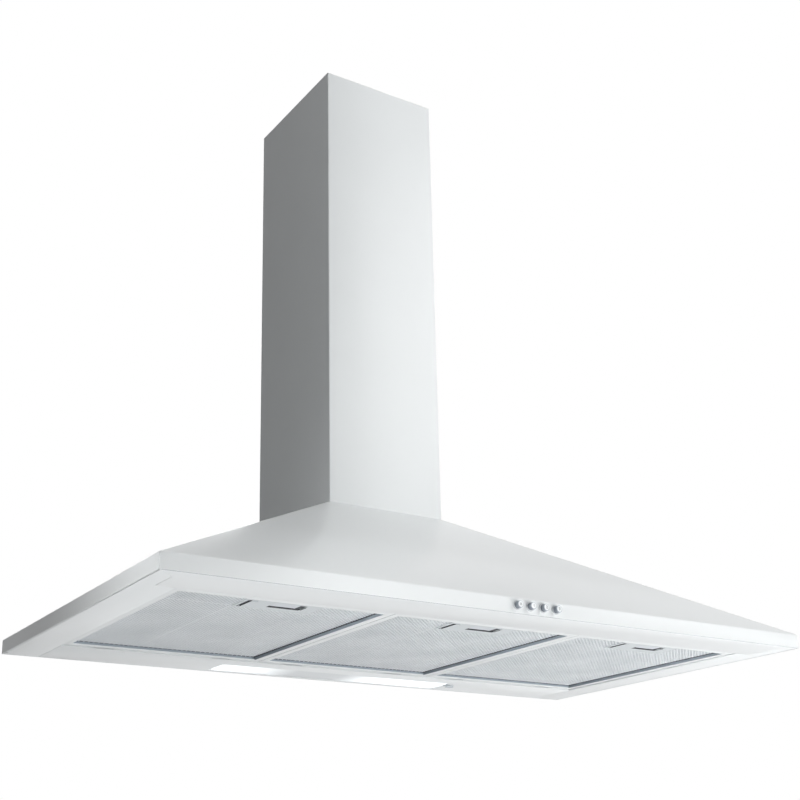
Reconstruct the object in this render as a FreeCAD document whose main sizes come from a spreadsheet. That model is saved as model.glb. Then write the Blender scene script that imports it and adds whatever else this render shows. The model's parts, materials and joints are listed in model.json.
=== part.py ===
import FreeCAD, Part
import Sketcher
import math
import os
import re

# Wall-hung chimney range hood, 90 cm class.
# X runs along the wall, Y points into the wall (the wall face is Y = 0) and Z is up from the bottom rim.
doc = FreeCAD.newDocument("range_hood")
os.makedirs("parts", exist_ok=True)

# ---------------------------------------------------------------- driving sizes, millimetres
SIZES = [
    # canopy
    ("width", 900, "canopy along the wall"),
    ("depth", 500, "canopy out from the wall"),
    ("rim_height", 18, "vertical fascia round the canopy"),
    ("canopy_top", 201, "top of the slopes above the rim"),
    ("shell_sheet", 1.0, "steel of the canopy and its back panel"),
    ("upstand_height", 12, "collar folded up inside the chimney"),
    ("upstand_wall", 1.0, "steel of that collar"),
    ("hang_spacing", 260, "between the two upper wall holes"),
    ("hang_height", 120, "upper wall holes above the rim"),
    ("hang_hole", 4.0, "radius of the upper wall holes"),
    ("fix_spacing", 700, "between the two lower wall holes"),
    ("fix_height", 28, "lower wall holes above the rim"),
    ("fix_hole", 2.75, "radius of the lower wall holes"),
    ("hanger_width", 56, "stiffener behind an upper wall hole"),
    ("hanger_height", 40, "stiffener height"),
    ("hanger_sheet", 2.0, "stiffener thickness"),
    ("hanger_corner", 4, "rounded corners of the stiffener"),
    # underside frame
    ("front_strip", 67, "flat strip behind the fascia"),
    ("side_strip", 46, "flat strips at the two ends"),
    ("light_strip", 87, "rear panel that holds the light"),
    ("strip_sheet", 1.0, "steel of the underside strips"),
    ("strip_seam", 0.5, "seam between two strips"),
    ("rim_groove", 1.4, "shadow groove between fascia and strips"),
    ("mitre_run", 24, "corner mitre of the strips"),
    ("lip_height", 14, "lips turned up round the filter opening"),
    ("web_height", 12, "outer flange of the strips"),
    # grease filters
    ("filter_side_gap", 0.9, "between filters and at the ends"),
    ("filter_front_gap", 1.4, "filter to the front lip"),
    ("filter_rear_gap", 1.8, "filter to the rear lip"),
    ("filter_lift", 1.2, "filters above the rim plane"),
    ("filter_height", 10, "cassette thickness"),
    ("filter_member", 9, "side and rear members of the cassette frame"),
    ("front_member", 13, "front member of the cassette frame"),
    ("filter_web", 1.0, "outer wall of the cassette frame"),
    ("mesh_recess", 4.5, "mesh above the cassette's lower face"),
    ("mesh_thick", 4.0, "mesh pack"),
    ("mesh_slack", 0.2, "mesh pack in its groove"),
    ("lug_width", 24, "rear hooking lug"),
    ("lug_spread", 160, "between the two lugs of a cassette"),
    ("lug_reach", 6.0, "lug behind the cassette"),
    ("lug_sheet", 1.2, "lug thickness"),
    ("lug_lift", 0.5, "lug above the cassette's lower face"),
    ("lug_pivot", 0.4, "hinge line behind the cassette"),
    ("lug_bead", 0.8, "radius of the bead on the hinge line"),
    ("lug_slot_height", 7.5, "slot in the rear lip"),
    ("slot_drop", 0.7, "that slot below the lug"),
    ("lug_slack", 1.0, "slot beyond the lug, each side"),
    # filter latches
    ("latch_offset", 12.9, "pull bar right of the cassette's middle"),
    ("plate_left", 40, "latch plate left of the cassette's middle"),
    ("plate_right", 55, "latch plate right of the cassette's middle"),
    ("plate_depth", 52, "latch plate front to back"),
    ("plate_sheet", 1.2, "latch plate thickness"),
    ("bar_inset", 18.4, "pull bar behind the frame member"),
    ("bar_width", 32, "pull bar"),
    ("bar_depth", 15, "pull bar front to back"),
    ("bar_drop", 1.2, "pull bar below its slide"),
    ("bar_round", 0.6, "rounded lower edges of the pull bar"),
    ("well_gap", 1.0, "opening beyond the bar at the left and front"),
    ("well_end", 8.0, "opening beyond the bar at the right"),
    ("latch_travel", 2.4, "stroke of the latch"),
    ("well_rear", 0.6, "opening behind the drawn latch"),
    ("relief_place", 33, "side slot left of the cassette's middle"),
    ("relief_width", 3.5, "side slot of the latch plate"),
    ("relief_depth", 31.5, "side slot front to back"),
    ("relief_turn", 7, "turned end of the side slot"),
    ("notch_margin", 1.0, "notch of the mesh beyond the side slot"),
    ("slide_sheet", 1.6, "slide and tongue thickness"),
    ("slide_lift", 0.3, "slide above the latch plate"),
    ("slide_front", 7, "slide ahead of the pull bar"),
    ("slide_rear", 3.5, "slide behind the pull bar"),
    ("tongue_width", 18, "latch tongue"),
    ("tongue_reach", 3.0, "tongue ahead of the cassette"),
    ("tongue_slack", 0.4, "tongue in its slots"),
    ("spring_width", 30, "return spring of the latch"),
    ("spring_leaf", 0.5, "spring strip"),
    ("spring_flat", 10, "flat middle of the spring"),
    ("spring_room", 2.0, "room left for the spring when the latch is drawn"),
    # light
    ("light_offset", 16.5, "light right of the middle"),
    ("cover_length", 369, "light cover"),
    ("cover_depth", 48, "light cover front to back"),
    ("cover_back", 33, "middle of the light from the wall"),
    ("cover_thick", 2.6, "light cover thickness"),
    ("cover_lift", 0.4, "light cover above the rim plane"),
    ("cover_corner", 10, "plan corner of the light cover"),
    ("cover_round", 1.2, "rounded lower edges of the light cover"),
    ("cover_gap", 0.5, "round the light cover"),
    ("pivot_inset", 11, "cover pivot from its left end"),
    ("pivot_radius", 1.0, "cover pivot pins"),
    ("pivot_slack", 0.1, "pivot pins in their holes"),
    ("flange_height", 6, "flanges along the light window"),
    ("tab_reach", 4, "cover tab over the catch"),
    ("tab_width", 16, "cover tab"),
    ("tab_thick", 0.9, "cover tab thickness"),
    ("tab_root", 3, "cover tab inside the cover"),
    ("catch_back", 42, "middle of the tab and the catch from the wall"),
    ("catch_width", 8, "catch blade"),
    ("catch_blade", 0.8, "catch blade thickness"),
    ("catch_length", 15, "catch blade length"),
    ("catch_travel", 5, "catch stroke"),
    ("catch_clear", 1.5, "catch blade from the cover's end"),
    ("catch_slack", 0.1, "catch blade above the panel"),
    ("knob_length", 13, "finger knob of the catch"),
    ("knob_width", 7, "finger knob width"),
    ("knob_drop", 2.4, "finger knob's height"),
    ("knob_gap", 0.3, "finger knob below the panel"),
    ("knob_flat", 0.4, "flat left between the knob's rounded corners"),
    ("stem_length", 4, "stem between knob and blade"),
    ("slot_slack", 0.3, "stem in the panel's slot"),
    ("tray_margin", 22, "light tray beyond the cover's ends"),
    ("tray_front", 7, "light tray ahead of the cover"),
    ("tray_rear", 4, "light tray from the wall"),
    ("tray_height", 47, "light tray height"),
    ("tray_sheet", 1.0, "light tray steel"),
    ("lamp_height", 27, "lamp axis above the rim plane"),
    ("holder_radius", 13, "lamp holder"),
    ("holder_length", 24, "lamp holder"),
    ("cap_radius", 7, "lamp cap"),
    ("cap_length", 20, "lamp cap"),
    ("bulb_radius", 11, "lamp glass"),
    ("bulb_length", 66, "straight part of the lamp glass"),
    # buttons
    ("button_pitch", 18.7, "between buttons"),
    ("button_offset", 11, "button row right of the middle"),
    ("button_lift", 0.5, "button row above the fascia's middle"),
    ("button_radius", 4.2, "button cap"),
    ("button_round", 0.6, "rounded front edge of the cap"),
    ("button_reach", 7, "button cap ahead of the fascia"),
    ("button_length", 6, "button cap length"),
    ("button_stem", 2.5, "stem radius"),
    ("stem_reach", 15, "stem behind the cap"),
    ("bezel_radius", 5.7, "bezel ring"),
    ("bezel_sleeve", 5.0, "bezel sleeve"),
    ("bezel_bore", 4.5, "bezel bore"),
    ("bezel_flange", 1.2, "bezel flange thickness"),
    ("bezel_depth", 3.0, "bezel sleeve behind the fascia's face"),
    ("switch_width", 80, "switch block"),
    ("switch_depth", 28, "switch block front to back"),
    ("switch_height", 14, "switch block height"),
    ("switch_gap", 3.5, "switch block behind the fascia's face"),
    ("switch_clear", 2, "room beside the switch block"),
    ("switch_bore", 3.0, "stem well radius"),
    ("switch_well", 20, "stem well depth"),
    # blower
    ("fan_back", 150, "fan axis from the wall"),
    ("fan_height", 112, "fan axis above the rim"),
    ("wheel_radius", 60, "fan wheel"),
    ("wheel_inner", 48, "inner edge of the blades"),
    ("wheel_width", 90, "fan wheel length"),
    ("wheel_ring", 2.0, "end rings of the wheel"),
    ("blade_count", 32, "fan blades"),
    ("blade_sheet", 1.2, "blade thickness"),
    ("blade_sweep", 6, "blade's outer edge ahead of its inner edge"),
    ("blade_belly", 2.1, "blade's middle ahead of its inner edge"),
    ("blade_seat", 0.5, "blades inside the edges of the end rings"),
    ("ring_lap", 1, "end rings inside the blades, disc inside the wheel"),
    ("disc_sheet", 1.5, "middle disc of the wheel"),
    ("hub_radius", 11, "wheel hub"),
    ("hub_left", 16, "hub left of the disc"),
    ("hub_right", 3, "hub right of the disc"),
    ("shaft_radius", 4, "motor shaft"),
    ("shaft_slack", 0.05, "shaft in the motor's bearing"),
    ("shaft_end", 48, "shaft inside the motor"),
    ("scroll_start", 68, "scroll radius at its tongue"),
    ("scroll_step", 8, "scroll growth each quarter turn"),
    ("scroll_tongue", 9, "rounding of the tongue at the outlet"),
    ("scroll_width", 100, "scroll inside"),
    ("scroll_sheet", 1.2, "scroll wall and cheeks"),
    ("cheek_rim", 7, "cheek beyond the scroll's inside"),
    ("inlet_radius", 49, "inlet throat"),
    ("inlet_flare", 9, "lip of the inlet ring round its throat"),
    ("inlet_lip", 5, "that lip's face from the cheek"),
    ("flare_radius", 4.5, "rounding from the lip into the throat"),
    ("inlet_wall", 1.4, "inlet ring wall"),
    ("inlet_throat", 4, "inlet ring inside the cheek"),
    ("foot_width", 12, "cheek feet under the top plate"),
    ("motor_radius", 38, "motor"),
    ("motor_front", 8, "motor's front face from the disc"),
    ("motor_length", 52, "motor"),
    ("motor_chamfer", 3, "edges of the motor"),
    ("motor_boss", 12, "motor bearing boss"),
    ("boss_reach", 4, "bosses beyond the motor's faces"),
    ("bore_end", 50, "bottom of the motor's bore"),
    ("arm_width", 10, "motor bracket arm"),
    ("arm_sheet", 2.5, "motor bracket thickness"),
    ("arm_ring", 7, "motor bracket ring"),
    ("mount_circle", 64, "rubber mounts round the motor"),
    ("mount_radius", 5, "rubber mount"),
    ("mount_length", 6.8, "rubber mount length"),
    # outlet
    ("plate_top_sheet", 1.0, "top plate"),
    ("collar_radius", 60, "duct collar outside"),
    ("collar_wall", 2.0, "duct collar wall"),
    ("collar_height", 62, "duct collar above the top plate"),
    ("collar_cone", 18, "height of the collar's cone"),
    ("collar_foot", 10, "cone beyond the collar at its foot"),
    ("collar_flange", 150, "square flange"),
    ("ledge_height", 33, "flap stop above the top plate"),
    ("ledge_reach", 2.5, "flap stop inside the collar"),
    ("ledge_thick", 3, "flap stop thickness"),
    ("flap_thick", 1.5, "damper flap"),
    ("flap_gap", 0.6, "flap to the collar's wall"),
    ("flap_axis", 3.5, "flap pivot from the collar's middle"),
    ("flap_pin", 1.5, "flap pin radius"),
    ("flap_knuckle", 2.6, "flap knuckle radius"),
    ("flap_slack", 0.1, "knuckle on its pin"),
    ("pin_gap", 0.3, "pin's ends from the collar's wall"),
    ("knuckle_length", 22, "each flap knuckle"),
    ("knuckle_lift", 0.2, "knuckles above the flap stop"),
    ("knuckle_spread", 70, "between knuckles"),
    # chimney
    ("chimney_width", 180, "chimney along the wall"),
    ("chimney_depth", 204, "chimney out from the wall"),
    ("chimney_length", 660, "lower chimney cover"),
    ("duct_sheet", 0.8, "chimney steel"),
    ("upstand_gap", 0.5, "chimney round the upstand"),
    ("nest_gap", 0.6, "upper chimney inside the lower"),
    ("nest_back", 5, "upper chimney from the wall"),
    ("return_width", 14, "flanges along the chimney's back edges"),
    ("upper_lift", 4, "upper chimney above the top plate"),
    ("wall_bar_sheet", 1.2, "chimney wall bracket"),
    ("wall_bar_height", 30, "chimney wall bracket"),
    ("wall_bar_drop", 60, "bracket's top below the chimney's"),
    ("wall_bar_spacing", 80, "between the bracket's wall holes"),
    ("wall_bar_hole", 3.0, "radius of the bracket's wall holes"),
    ("bar_slack", 0.3, "bracket in the chimney"),
    ("head_bar_height", 26, "ceiling bracket of the upper chimney"),
    ("head_bar_drop", 8, "ceiling bracket below the top"),
    ("head_bar_ear", 24, "ears of the ceiling bracket"),
    # electrics
    ("box_width", 84, "terminal box"),
    ("box_height", 50, "terminal box"),
    ("box_depth", 44, "terminal box out from the back panel"),
    ("box_wall", 2.0, "terminal box wall"),
    ("box_gap", 26, "terminal box from the light tray's end"),
    ("box_lift", 20, "terminal box above the rim"),
    ("lid_sheet", 2.0, "terminal box lid"),
    ("lid_corner", 3, "rounded corners of the lid"),
    ("gland_left", 62, "cable gland left of the middle"),
    ("gland_back", 15, "cable gland from the wall"),
    ("gland_radius", 7, "cable gland"),
    ("gland_bore", 3.5, "cable gland bore"),
    ("gland_head", 8, "cable gland above the top plate"),
    ("gland_tail", 8, "cable gland below the top plate"),
    ("gland_nut", 9, "cable gland nut radius"),
    ("nut_height", 5, "cable gland nut"),
    ("gland_shoulder", 3, "gland's shoulder above the top plate"),
    ("capacitor_radius", 14, "motor capacitor"),
    ("capacitor_length", 48, "motor capacitor"),
    ("capacitor_left", 195, "capacitor left of the middle"),
    ("capacitor_lift", 58, "capacitor above the rim"),
]

sheet = doc.addObject("Spreadsheet::Sheet", "dims")
for row, (alias, number, note) in enumerate(SIZES, start=2):
    sheet.set(f"A{row}", note)
    sheet.set(f"B{row}", str(number))
    sheet.setAlias(f"B{row}", alias)
doc.recompute()
size = {alias: float(sheet.get(alias)) for alias, number, note in SIZES}

# ---------------------------------------------------------------- places worked out from the sizes
PLACES = {
    "half_width": "width/2",
    "slope_rise": "canopy_top - rim_height",
    "side_skin": "shell_sheet*sqrt(1 + ((half_width - chimney_width/2)/slope_rise)^2)",
    "front_skin": "shell_sheet*sqrt(1 + ((depth - chimney_depth)/slope_rise)^2)",
    "shell_half": "half_width - shell_sheet",
    "strip_out": "shell_sheet + rim_groove",
    "mitre_seam": "strip_seam*sqrt(2)",
    "opening_half": "half_width - side_strip",
    "opening_front": "front_strip - depth",
    "upstand_half": "chimney_width/2 - duct_sheet - upstand_gap",
    "upstand_front": "chimney_depth - duct_sheet - upstand_gap",
    "plate_level": "canopy_top + upstand_height",
    "plate_face": "plate_level + plate_top_sheet",
    "filter_width": "(2*opening_half - 4*filter_side_gap)/3",
    "filter_pitch": "filter_width + filter_side_gap",
    "filter_front": "opening_front + filter_front_gap",
    "filter_back": "-(light_strip + filter_rear_gap)",
    "member_front": "filter_front + front_member",
    "member_back": "filter_back - filter_member",
    "mesh_level": "filter_lift + mesh_recess",
    "lug_level": "filter_lift + lug_lift",
    "slide_level": "mesh_level + slide_lift",
    "slide_face": "slide_level + slide_sheet",
    "bar_left": "latch_offset - bar_width/2",
    "bar_right": "latch_offset + bar_width/2",
    "bar_front": "member_front + bar_inset",
    "bar_back": "bar_front + bar_depth",
    "well_left": "bar_left - well_gap",
    "well_right": "bar_right + well_end",
    "well_front": "bar_front - well_gap",
    "well_back": "bar_back + latch_travel + well_rear",
    "relief_left": "-(relief_place + relief_width/2)",
    "relief_right": "relief_width/2 - relief_place",
    "relief_back": "well_front + relief_depth",
    "slide_end": "bar_back + slide_rear",
    "mesh_notch": "slide_end + latch_travel + spring_room",
    "cover_left": "light_offset - cover_length/2 - tab_reach/2",
    "cover_right": "cover_left + cover_length",
    "pivot_place": "cover_left + pivot_inset",
    "pivot_level": "cover_lift + cover_thick/2",
    "cover_front": "cover_back + cover_depth/2",
    "cover_rear": "cover_back - cover_depth/2",
    "window_front": "cover_front + cover_gap",
    "window_rear": "cover_rear - cover_gap",
    "tab_end": "cover_right + tab_reach",
    "tab_level": "cover_lift + cover_thick - tab_thick",
    "catch_tip": "cover_right + catch_clear",
    "catch_level": "strip_sheet + catch_slack",
    "stem_place": "catch_tip + catch_length - stem_length - catch_travel",
    "tray_half": "cover_length/2 + tray_margin",
    "tray_left": "light_offset - tray_half",
    "tray_right": "light_offset + tray_half",
    "tray_nose": "cover_front + tray_front",
    "scroll_half": "scroll_width/2",
    "cheek_face": "scroll_half + scroll_sheet",
    "scroll_rear": "fan_back - scroll_start - 3*scroll_step",
    "outlet_middle": "(fan_back + scroll_rear)/2",
    "ledge_level": "plate_face + ledge_height",
    "flap_level": "ledge_level + flap_knuckle + knuckle_lift",
    "pin_reach": "collar_radius - collar_wall - pin_gap",
    "button_level": "rim_height/2 + button_lift",
    "cap_back": "button_reach - button_length",
    "chimney_end": "canopy_top + chimney_length",
    "lower_inner": "chimney_width/2 - duct_sheet",
    "upper_half": "lower_inner - nest_gap",
    "upper_front": "chimney_depth - duct_sheet - nest_gap",
    "upper_foot": "plate_face + upper_lift",
    "wall_bar_level": "chimney_end - wall_bar_drop",
    "head_bar_level": "chimney_end - head_bar_drop",
    "box_right": "tray_left - box_gap",
    "box_left": "box_right - box_width",
    "gland_base": "plate_level - gland_tail",
}


def bound(formula):
    """Turns the names in a formula into references to the spreadsheet."""
    def reference(match):
        name = match[0]
        if name in PLACES:
            return "(" + bound(PLACES[name]) + ")"
        return "dims." + name if name in size else name
    return re.sub(r"[a-z][a-z_]*", reference, str(formula))


def bind(thing, prop, formula):
    thing.setExpression(prop, bound(formula))


# ---------------------------------------------------------------- sketch and feature helpers
finished = []
cutting = []


def new_body(label):
    body = doc.addObject("PartDesign::Body", label)
    body.Label = label
    finished.append(body)
    return body


def sketch_on(body, plane, level="0"):
    """A sketch on one of the body's origin planes, moved along the plane's normal by level.

    The normals are +Z on XY_Plane, -Y on XZ_Plane and +X on YZ_Plane.
    """
    sketch = body.newObject("Sketcher::SketchObject", body.Label + "_sketch")
    support = next(f for f in body.Origin.OriginFeatures if f.Role == plane)
    sketch.AttachmentSupport = [(support, "")]
    sketch.MapMode = "FlatFace"
    bind(sketch, "AttachmentOffset.Base.z", level)
    return sketch


def set_size(sketch, constraint, formula):
    index = sketch.addConstraint(constraint)
    bind(sketch, f"Constraints[{index}]", formula)


def polygon(sketch, points):
    """A closed outline whose corners are formulas; it starts as a rough ring and the sizes pull it true."""
    count = len(points)
    first = sketch.GeometryCount
    ring = [2 * math.pi * i / count for i in range(count)]
    rough = [FreeCAD.Vector(50 * math.cos(turn), 50 * math.sin(turn), 0) for turn in ring]
    for i in range(count):
        sketch.addGeometry(Part.LineSegment(rough[i], rough[(i + 1) % count]))
    for i in range(count):
        after = first + (i + 1) % count
        sketch.addConstraint(Sketcher.Constraint("Coincident", first + i, 2, after, 1))
    for i, (across, along) in enumerate(points):
        corner = first + i
        set_size(sketch, Sketcher.Constraint("DistanceX", -1, 1, corner, 1, rough[i].x), across)
        set_size(sketch, Sketcher.Constraint("DistanceY", -1, 1, corner, 1, rough[i].y), along)


def rectangle(sketch, left, low, right, high):
    polygon(sketch, [(left, low), (right, low), (right, high), (left, high)])


def circle(sketch, across, along, radius):
    index = sketch.addGeometry(Part.Circle(FreeCAD.Vector(10, 10, 0), FreeCAD.Vector(0, 0, 1), 5))
    set_size(sketch, Sketcher.Constraint("Radius", index, 5), radius)
    set_size(sketch, Sketcher.Constraint("DistanceX", -1, 1, index, 3, 10), across)
    set_size(sketch, Sketcher.Constraint("DistanceY", -1, 1, index, 3, 10), along)


def pad(body, sketch, length, reverse=False):
    feature = body.newObject("PartDesign::Pad", body.Label + "_pad")
    feature.Profile = sketch
    bind(feature, "Length", length)
    feature.Reversed = reverse
    return feature


def pocket(body, sketch, length, along_normal=False):
    feature = body.newObject("PartDesign::Pocket", body.Label + "_pocket")
    feature.Profile = sketch
    bind(feature, "Length", length)
    feature.Reversed = along_normal
    cutting.append(feature)
    return feature


def wedge(body, kind, sizes):
    """A flat-sided frustum on the body's XZ_Plane; sizes gives its properties as formulas.

    Its own Y runs up and its own Z runs out from the wall.
    """
    feature = body.newObject("PartDesign::" + kind, body.Label + "_wedge")
    support = next(f for f in body.Origin.OriginFeatures if f.Role == "XZ_Plane")
    feature.AttachmentSupport = [(support, "")]
    feature.MapMode = "FlatFace"
    for prop, formula in sizes.items():
        bind(feature, prop, formula)
    if kind == "SubtractiveWedge":
        cutting.append(feature)
    return feature


def loft(body, kind, low, high):
    feature = body.newObject("PartDesign::" + kind, body.Label + "_loft")
    feature.Profile = low
    feature.Sections = [high]
    feature.Ruled = True
    if kind == "SubtractiveLoft":
        cutting.append(feature)
    return feature


def revolve(body, sketch):
    """A full turn about the sketch's own horizontal axis."""
    feature = body.newObject("PartDesign::Revolution", body.Label + "_revolution")
    feature.Profile = sketch
    feature.ReferenceAxis = (sketch, ["H_Axis"])
    feature.Angle = 360
    return feature


def round_edges(body, radius, chosen):
    """Rounds the edges of the body's last feature for which chosen(edge) holds."""
    doc.recompute()
    base = body.Tip
    names = [f"Edge{i}" for i, edge in enumerate(base.Shape.Edges, start=1) if chosen(edge)]
    feature = body.newObject("PartDesign::Fillet", body.Label + "_fillet")
    feature.Base = (base, names)
    bind(feature, "Radius", radius)
    return feature


def runs_along(edge, axis):
    if len(edge.Vertexes) != 2:
        return False
    first, last = edge.Vertexes
    step = last.Point - first.Point
    return abs(abs(step.dot(axis)) - step.Length) < 1e-6


UP = FreeCAD.Vector(0, 0, 1)
ALONG_X = FreeCAD.Rotation(FreeCAD.Vector(0, 1, 0), 90)
ALONG_Y = FreeCAD.Rotation(FreeCAD.Vector(1, 0, 0), -90)


def place(thing, across="0", back="0", level="0"):
    bind(thing, "Placement.Base.x", across)
    bind(thing, "Placement.Base.y", back)
    bind(thing, "Placement.Base.z", level)


def cylinder(label, radius, length, across, back, level, turn=None):
    """A Part cylinder from the given point: upwards, or along +X or +Y with turn."""
    solid = doc.addObject("Part::Cylinder", label)
    bind(solid, "Radius", radius)
    bind(solid, "Height", length)
    if turn:
        solid.Placement.Rotation = turn
    place(solid, across, back, level)
    return solid


def boolean(kind, label, parts):
    thing = doc.addObject("Part::" + kind, label)
    if kind == "Cut":
        thing.Base, thing.Tool = parts
    elif kind == "Compound":
        thing.Links = parts
    else:
        thing.Shapes = parts
    thing.Label = label
    return thing


# ---------------------------------------------------------------- canopy
def canopy_shell():
    """Folded sheet: fascia, three slopes, an upstand inside the chimney; open below and at the wall."""
    body = new_body("canopy_shell")
    rim = sketch_on(body, "XY_Plane")
    rectangle(rim, "-half_width", "-depth", "half_width", "0")
    pad(body, rim, "rim_height")
    doc.recompute()
    wedge(body, "AdditiveWedge", {
        "Xmin": "-half_width", "Xmax": "half_width", "Ymin": "rim_height", "Zmin": "0", "Zmax": "depth",
        "X2min": "-chimney_width/2", "X2max": "chimney_width/2", "Ymax": "canopy_top",
        "Z2min": "0", "Z2max": "chimney_depth",
    })
    doc.recompute()
    wedge(body, "SubtractiveWedge", {
        "Xmin": "-(half_width - side_skin)", "Xmax": "half_width - side_skin", "Ymin": "rim_height",
        "Zmin": "0", "Zmax": "depth - front_skin",
        "X2min": "-(chimney_width/2 - side_skin)", "X2max": "chimney_width/2 - side_skin", "Ymax": "canopy_top",
        "Z2min": "0", "Z2max": "chimney_depth - front_skin",
    })
    rim_in = sketch_on(body, "XY_Plane")
    rectangle(rim_in, "-shell_half", "-(depth - shell_sheet)", "shell_half", "0")
    pocket(body, rim_in, "rim_height", along_normal=True)

    upstand = sketch_on(body, "XY_Plane", "canopy_top")
    inner_half = "upstand_half - upstand_wall"
    inner_front = "-(upstand_front - upstand_wall)"
    rear = "-(duct_sheet + upstand_gap)"
    polygon(upstand, [
        ("-upstand_half", rear), ("-upstand_half", "-upstand_front"),
        ("upstand_half", "-upstand_front"), ("upstand_half", rear),
        (inner_half, rear), (inner_half, inner_front),
        (f"-({inner_half})", inner_front), (f"-({inner_half})", rear),
    ])
    pad(body, upstand, "upstand_height")

    holes = sketch_on(body, "XZ_Plane", "depth")
    for index in range(4):
        circle(holes, f"button_offset + ({index} - 1.5)*button_pitch", "button_level", "bezel_sleeve")
    pocket(body, holes, "shell_sheet")


def back_panel():
    """The sheet between canopy and wall, with four wall holes."""
    body = new_body("back_panel")
    outline = sketch_on(body, "XZ_Plane")
    neck = "chimney_width/2 - side_skin"
    polygon(outline, [
        ("-shell_half", "0"), ("shell_half", "0"), ("shell_half", "rim_height"),
        ("half_width - side_skin", "rim_height"), (neck, "canopy_top"), (f"-({neck})", "canopy_top"),
        ("-(half_width - side_skin)", "rim_height"), ("-shell_half", "rim_height"),
    ])
    for side in (-1, 1):
        circle(outline, f"{side}*hang_spacing/2", "hang_height", "hang_hole")
        circle(outline, f"{side}*fix_spacing/2", "fix_height", "fix_hole")
    pad(body, outline, "shell_sheet")


def hanger(name, side):
    """Stiffener plate round an upper wall hole, on the inside of the back panel."""
    body = new_body(name)
    outline = sketch_on(body, "XZ_Plane", "shell_sheet")
    middle = f"{side}*hang_spacing/2"
    rectangle(outline, f"{middle} - hanger_width/2", "hang_height - hanger_height/2",
              f"{middle} + hanger_width/2", "hang_height + hanger_height/2")
    circle(outline, middle, "hang_height", "hang_hole")
    pad(body, outline, "hanger_sheet")
    round_edges(body, "hanger_corner", lambda edge: runs_along(edge, FreeCAD.Vector(0, 1, 0)))


# ---------------------------------------------------------------- underside frame
def front_strip():
    """Flat strip with mitred corners, a lip with latch slots and an outer flange that meets the fascia."""
    body = new_body("front_strip")
    outline = sketch_on(body, "XY_Plane")
    edge = "-(depth - strip_out)"
    tip = "half_width - strip_out"
    mitre = "half_width - mitre_run"
    polygon(outline, [
        (f"-({tip})", edge), (tip, edge), (mitre, "-(depth - mitre_run)"),
        (mitre, "opening_front"), (f"-({mitre})", "opening_front"), (f"-({mitre})", "-(depth - mitre_run)"),
    ])
    pad(body, outline, "strip_sheet")
    lip = sketch_on(body, "XY_Plane")
    rectangle(lip, "-opening_half", "opening_front - strip_sheet", "opening_half", "opening_front")
    pad(body, lip, "lip_height")

    # the outer flange leaves room for the switch block behind the buttons
    block_left = "button_offset - switch_width/2 - switch_clear"
    block_right = "button_offset + switch_width/2 + switch_clear"
    for left, right in ((f"-({mitre})", block_left), (block_right, mitre)):
        web = sketch_on(body, "XY_Plane")
        rectangle(web, left, edge, right, "-(depth - strip_out - strip_sheet)")
        pad(body, web, "web_height")
        foot = sketch_on(body, "XY_Plane", "web_height - strip_sheet")
        rectangle(foot, left, "-(depth - shell_sheet)", right, "-(depth - strip_out - strip_sheet)")
        pad(body, foot, "strip_sheet")

    slots = sketch_on(body, "XZ_Plane", "-opening_front + strip_sheet")
    reach = "tongue_width/2 + tongue_slack"
    for index in (-1, 0, 1):
        middle = f"{index}*filter_pitch + latch_offset"
        rectangle(slots, f"{middle} - ({reach})", "slide_level - slide_lift",
                  f"{middle} + ({reach})", "slide_face + tongue_slack")
    pocket(body, slots, "strip_sheet")


def side_strip(name, side):
    body = new_body(name)
    outline = sketch_on(body, "XY_Plane")
    outer = f"{side}*(half_width - strip_out)"
    step = f"{side}*(half_width - mitre_run + strip_seam)"
    inner = f"{side}*opening_half"
    polygon(outline, [
        (outer, "-(depth - strip_out) + mitre_seam"),
        (step, "-(depth - mitre_run) + mitre_seam - strip_seam"),
        (step, "opening_front + strip_seam"), (inner, "opening_front + strip_seam"),
        (inner, "-shell_sheet"), (outer, "-shell_sheet"),
    ])
    pad(body, outline, "strip_sheet")
    lip = sketch_on(body, "XY_Plane")
    rectangle(lip, inner, "opening_front + strip_seam", f"{side}*(opening_half + strip_sheet)", "-light_strip")
    pad(body, lip, "lip_height")
    web = sketch_on(body, "XY_Plane")
    web_inner = f"{side}*(half_width - strip_out - strip_sheet)"
    web_front = "-(depth - mitre_run)"
    rectangle(web, outer, web_front, web_inner, "-shell_sheet")
    pad(body, web, "web_height")
    foot = sketch_on(body, "XY_Plane", "web_height - strip_sheet")
    rectangle(foot, f"{side}*shell_half", web_front, web_inner, "-shell_sheet")
    pad(body, foot, "strip_sheet")


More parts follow.
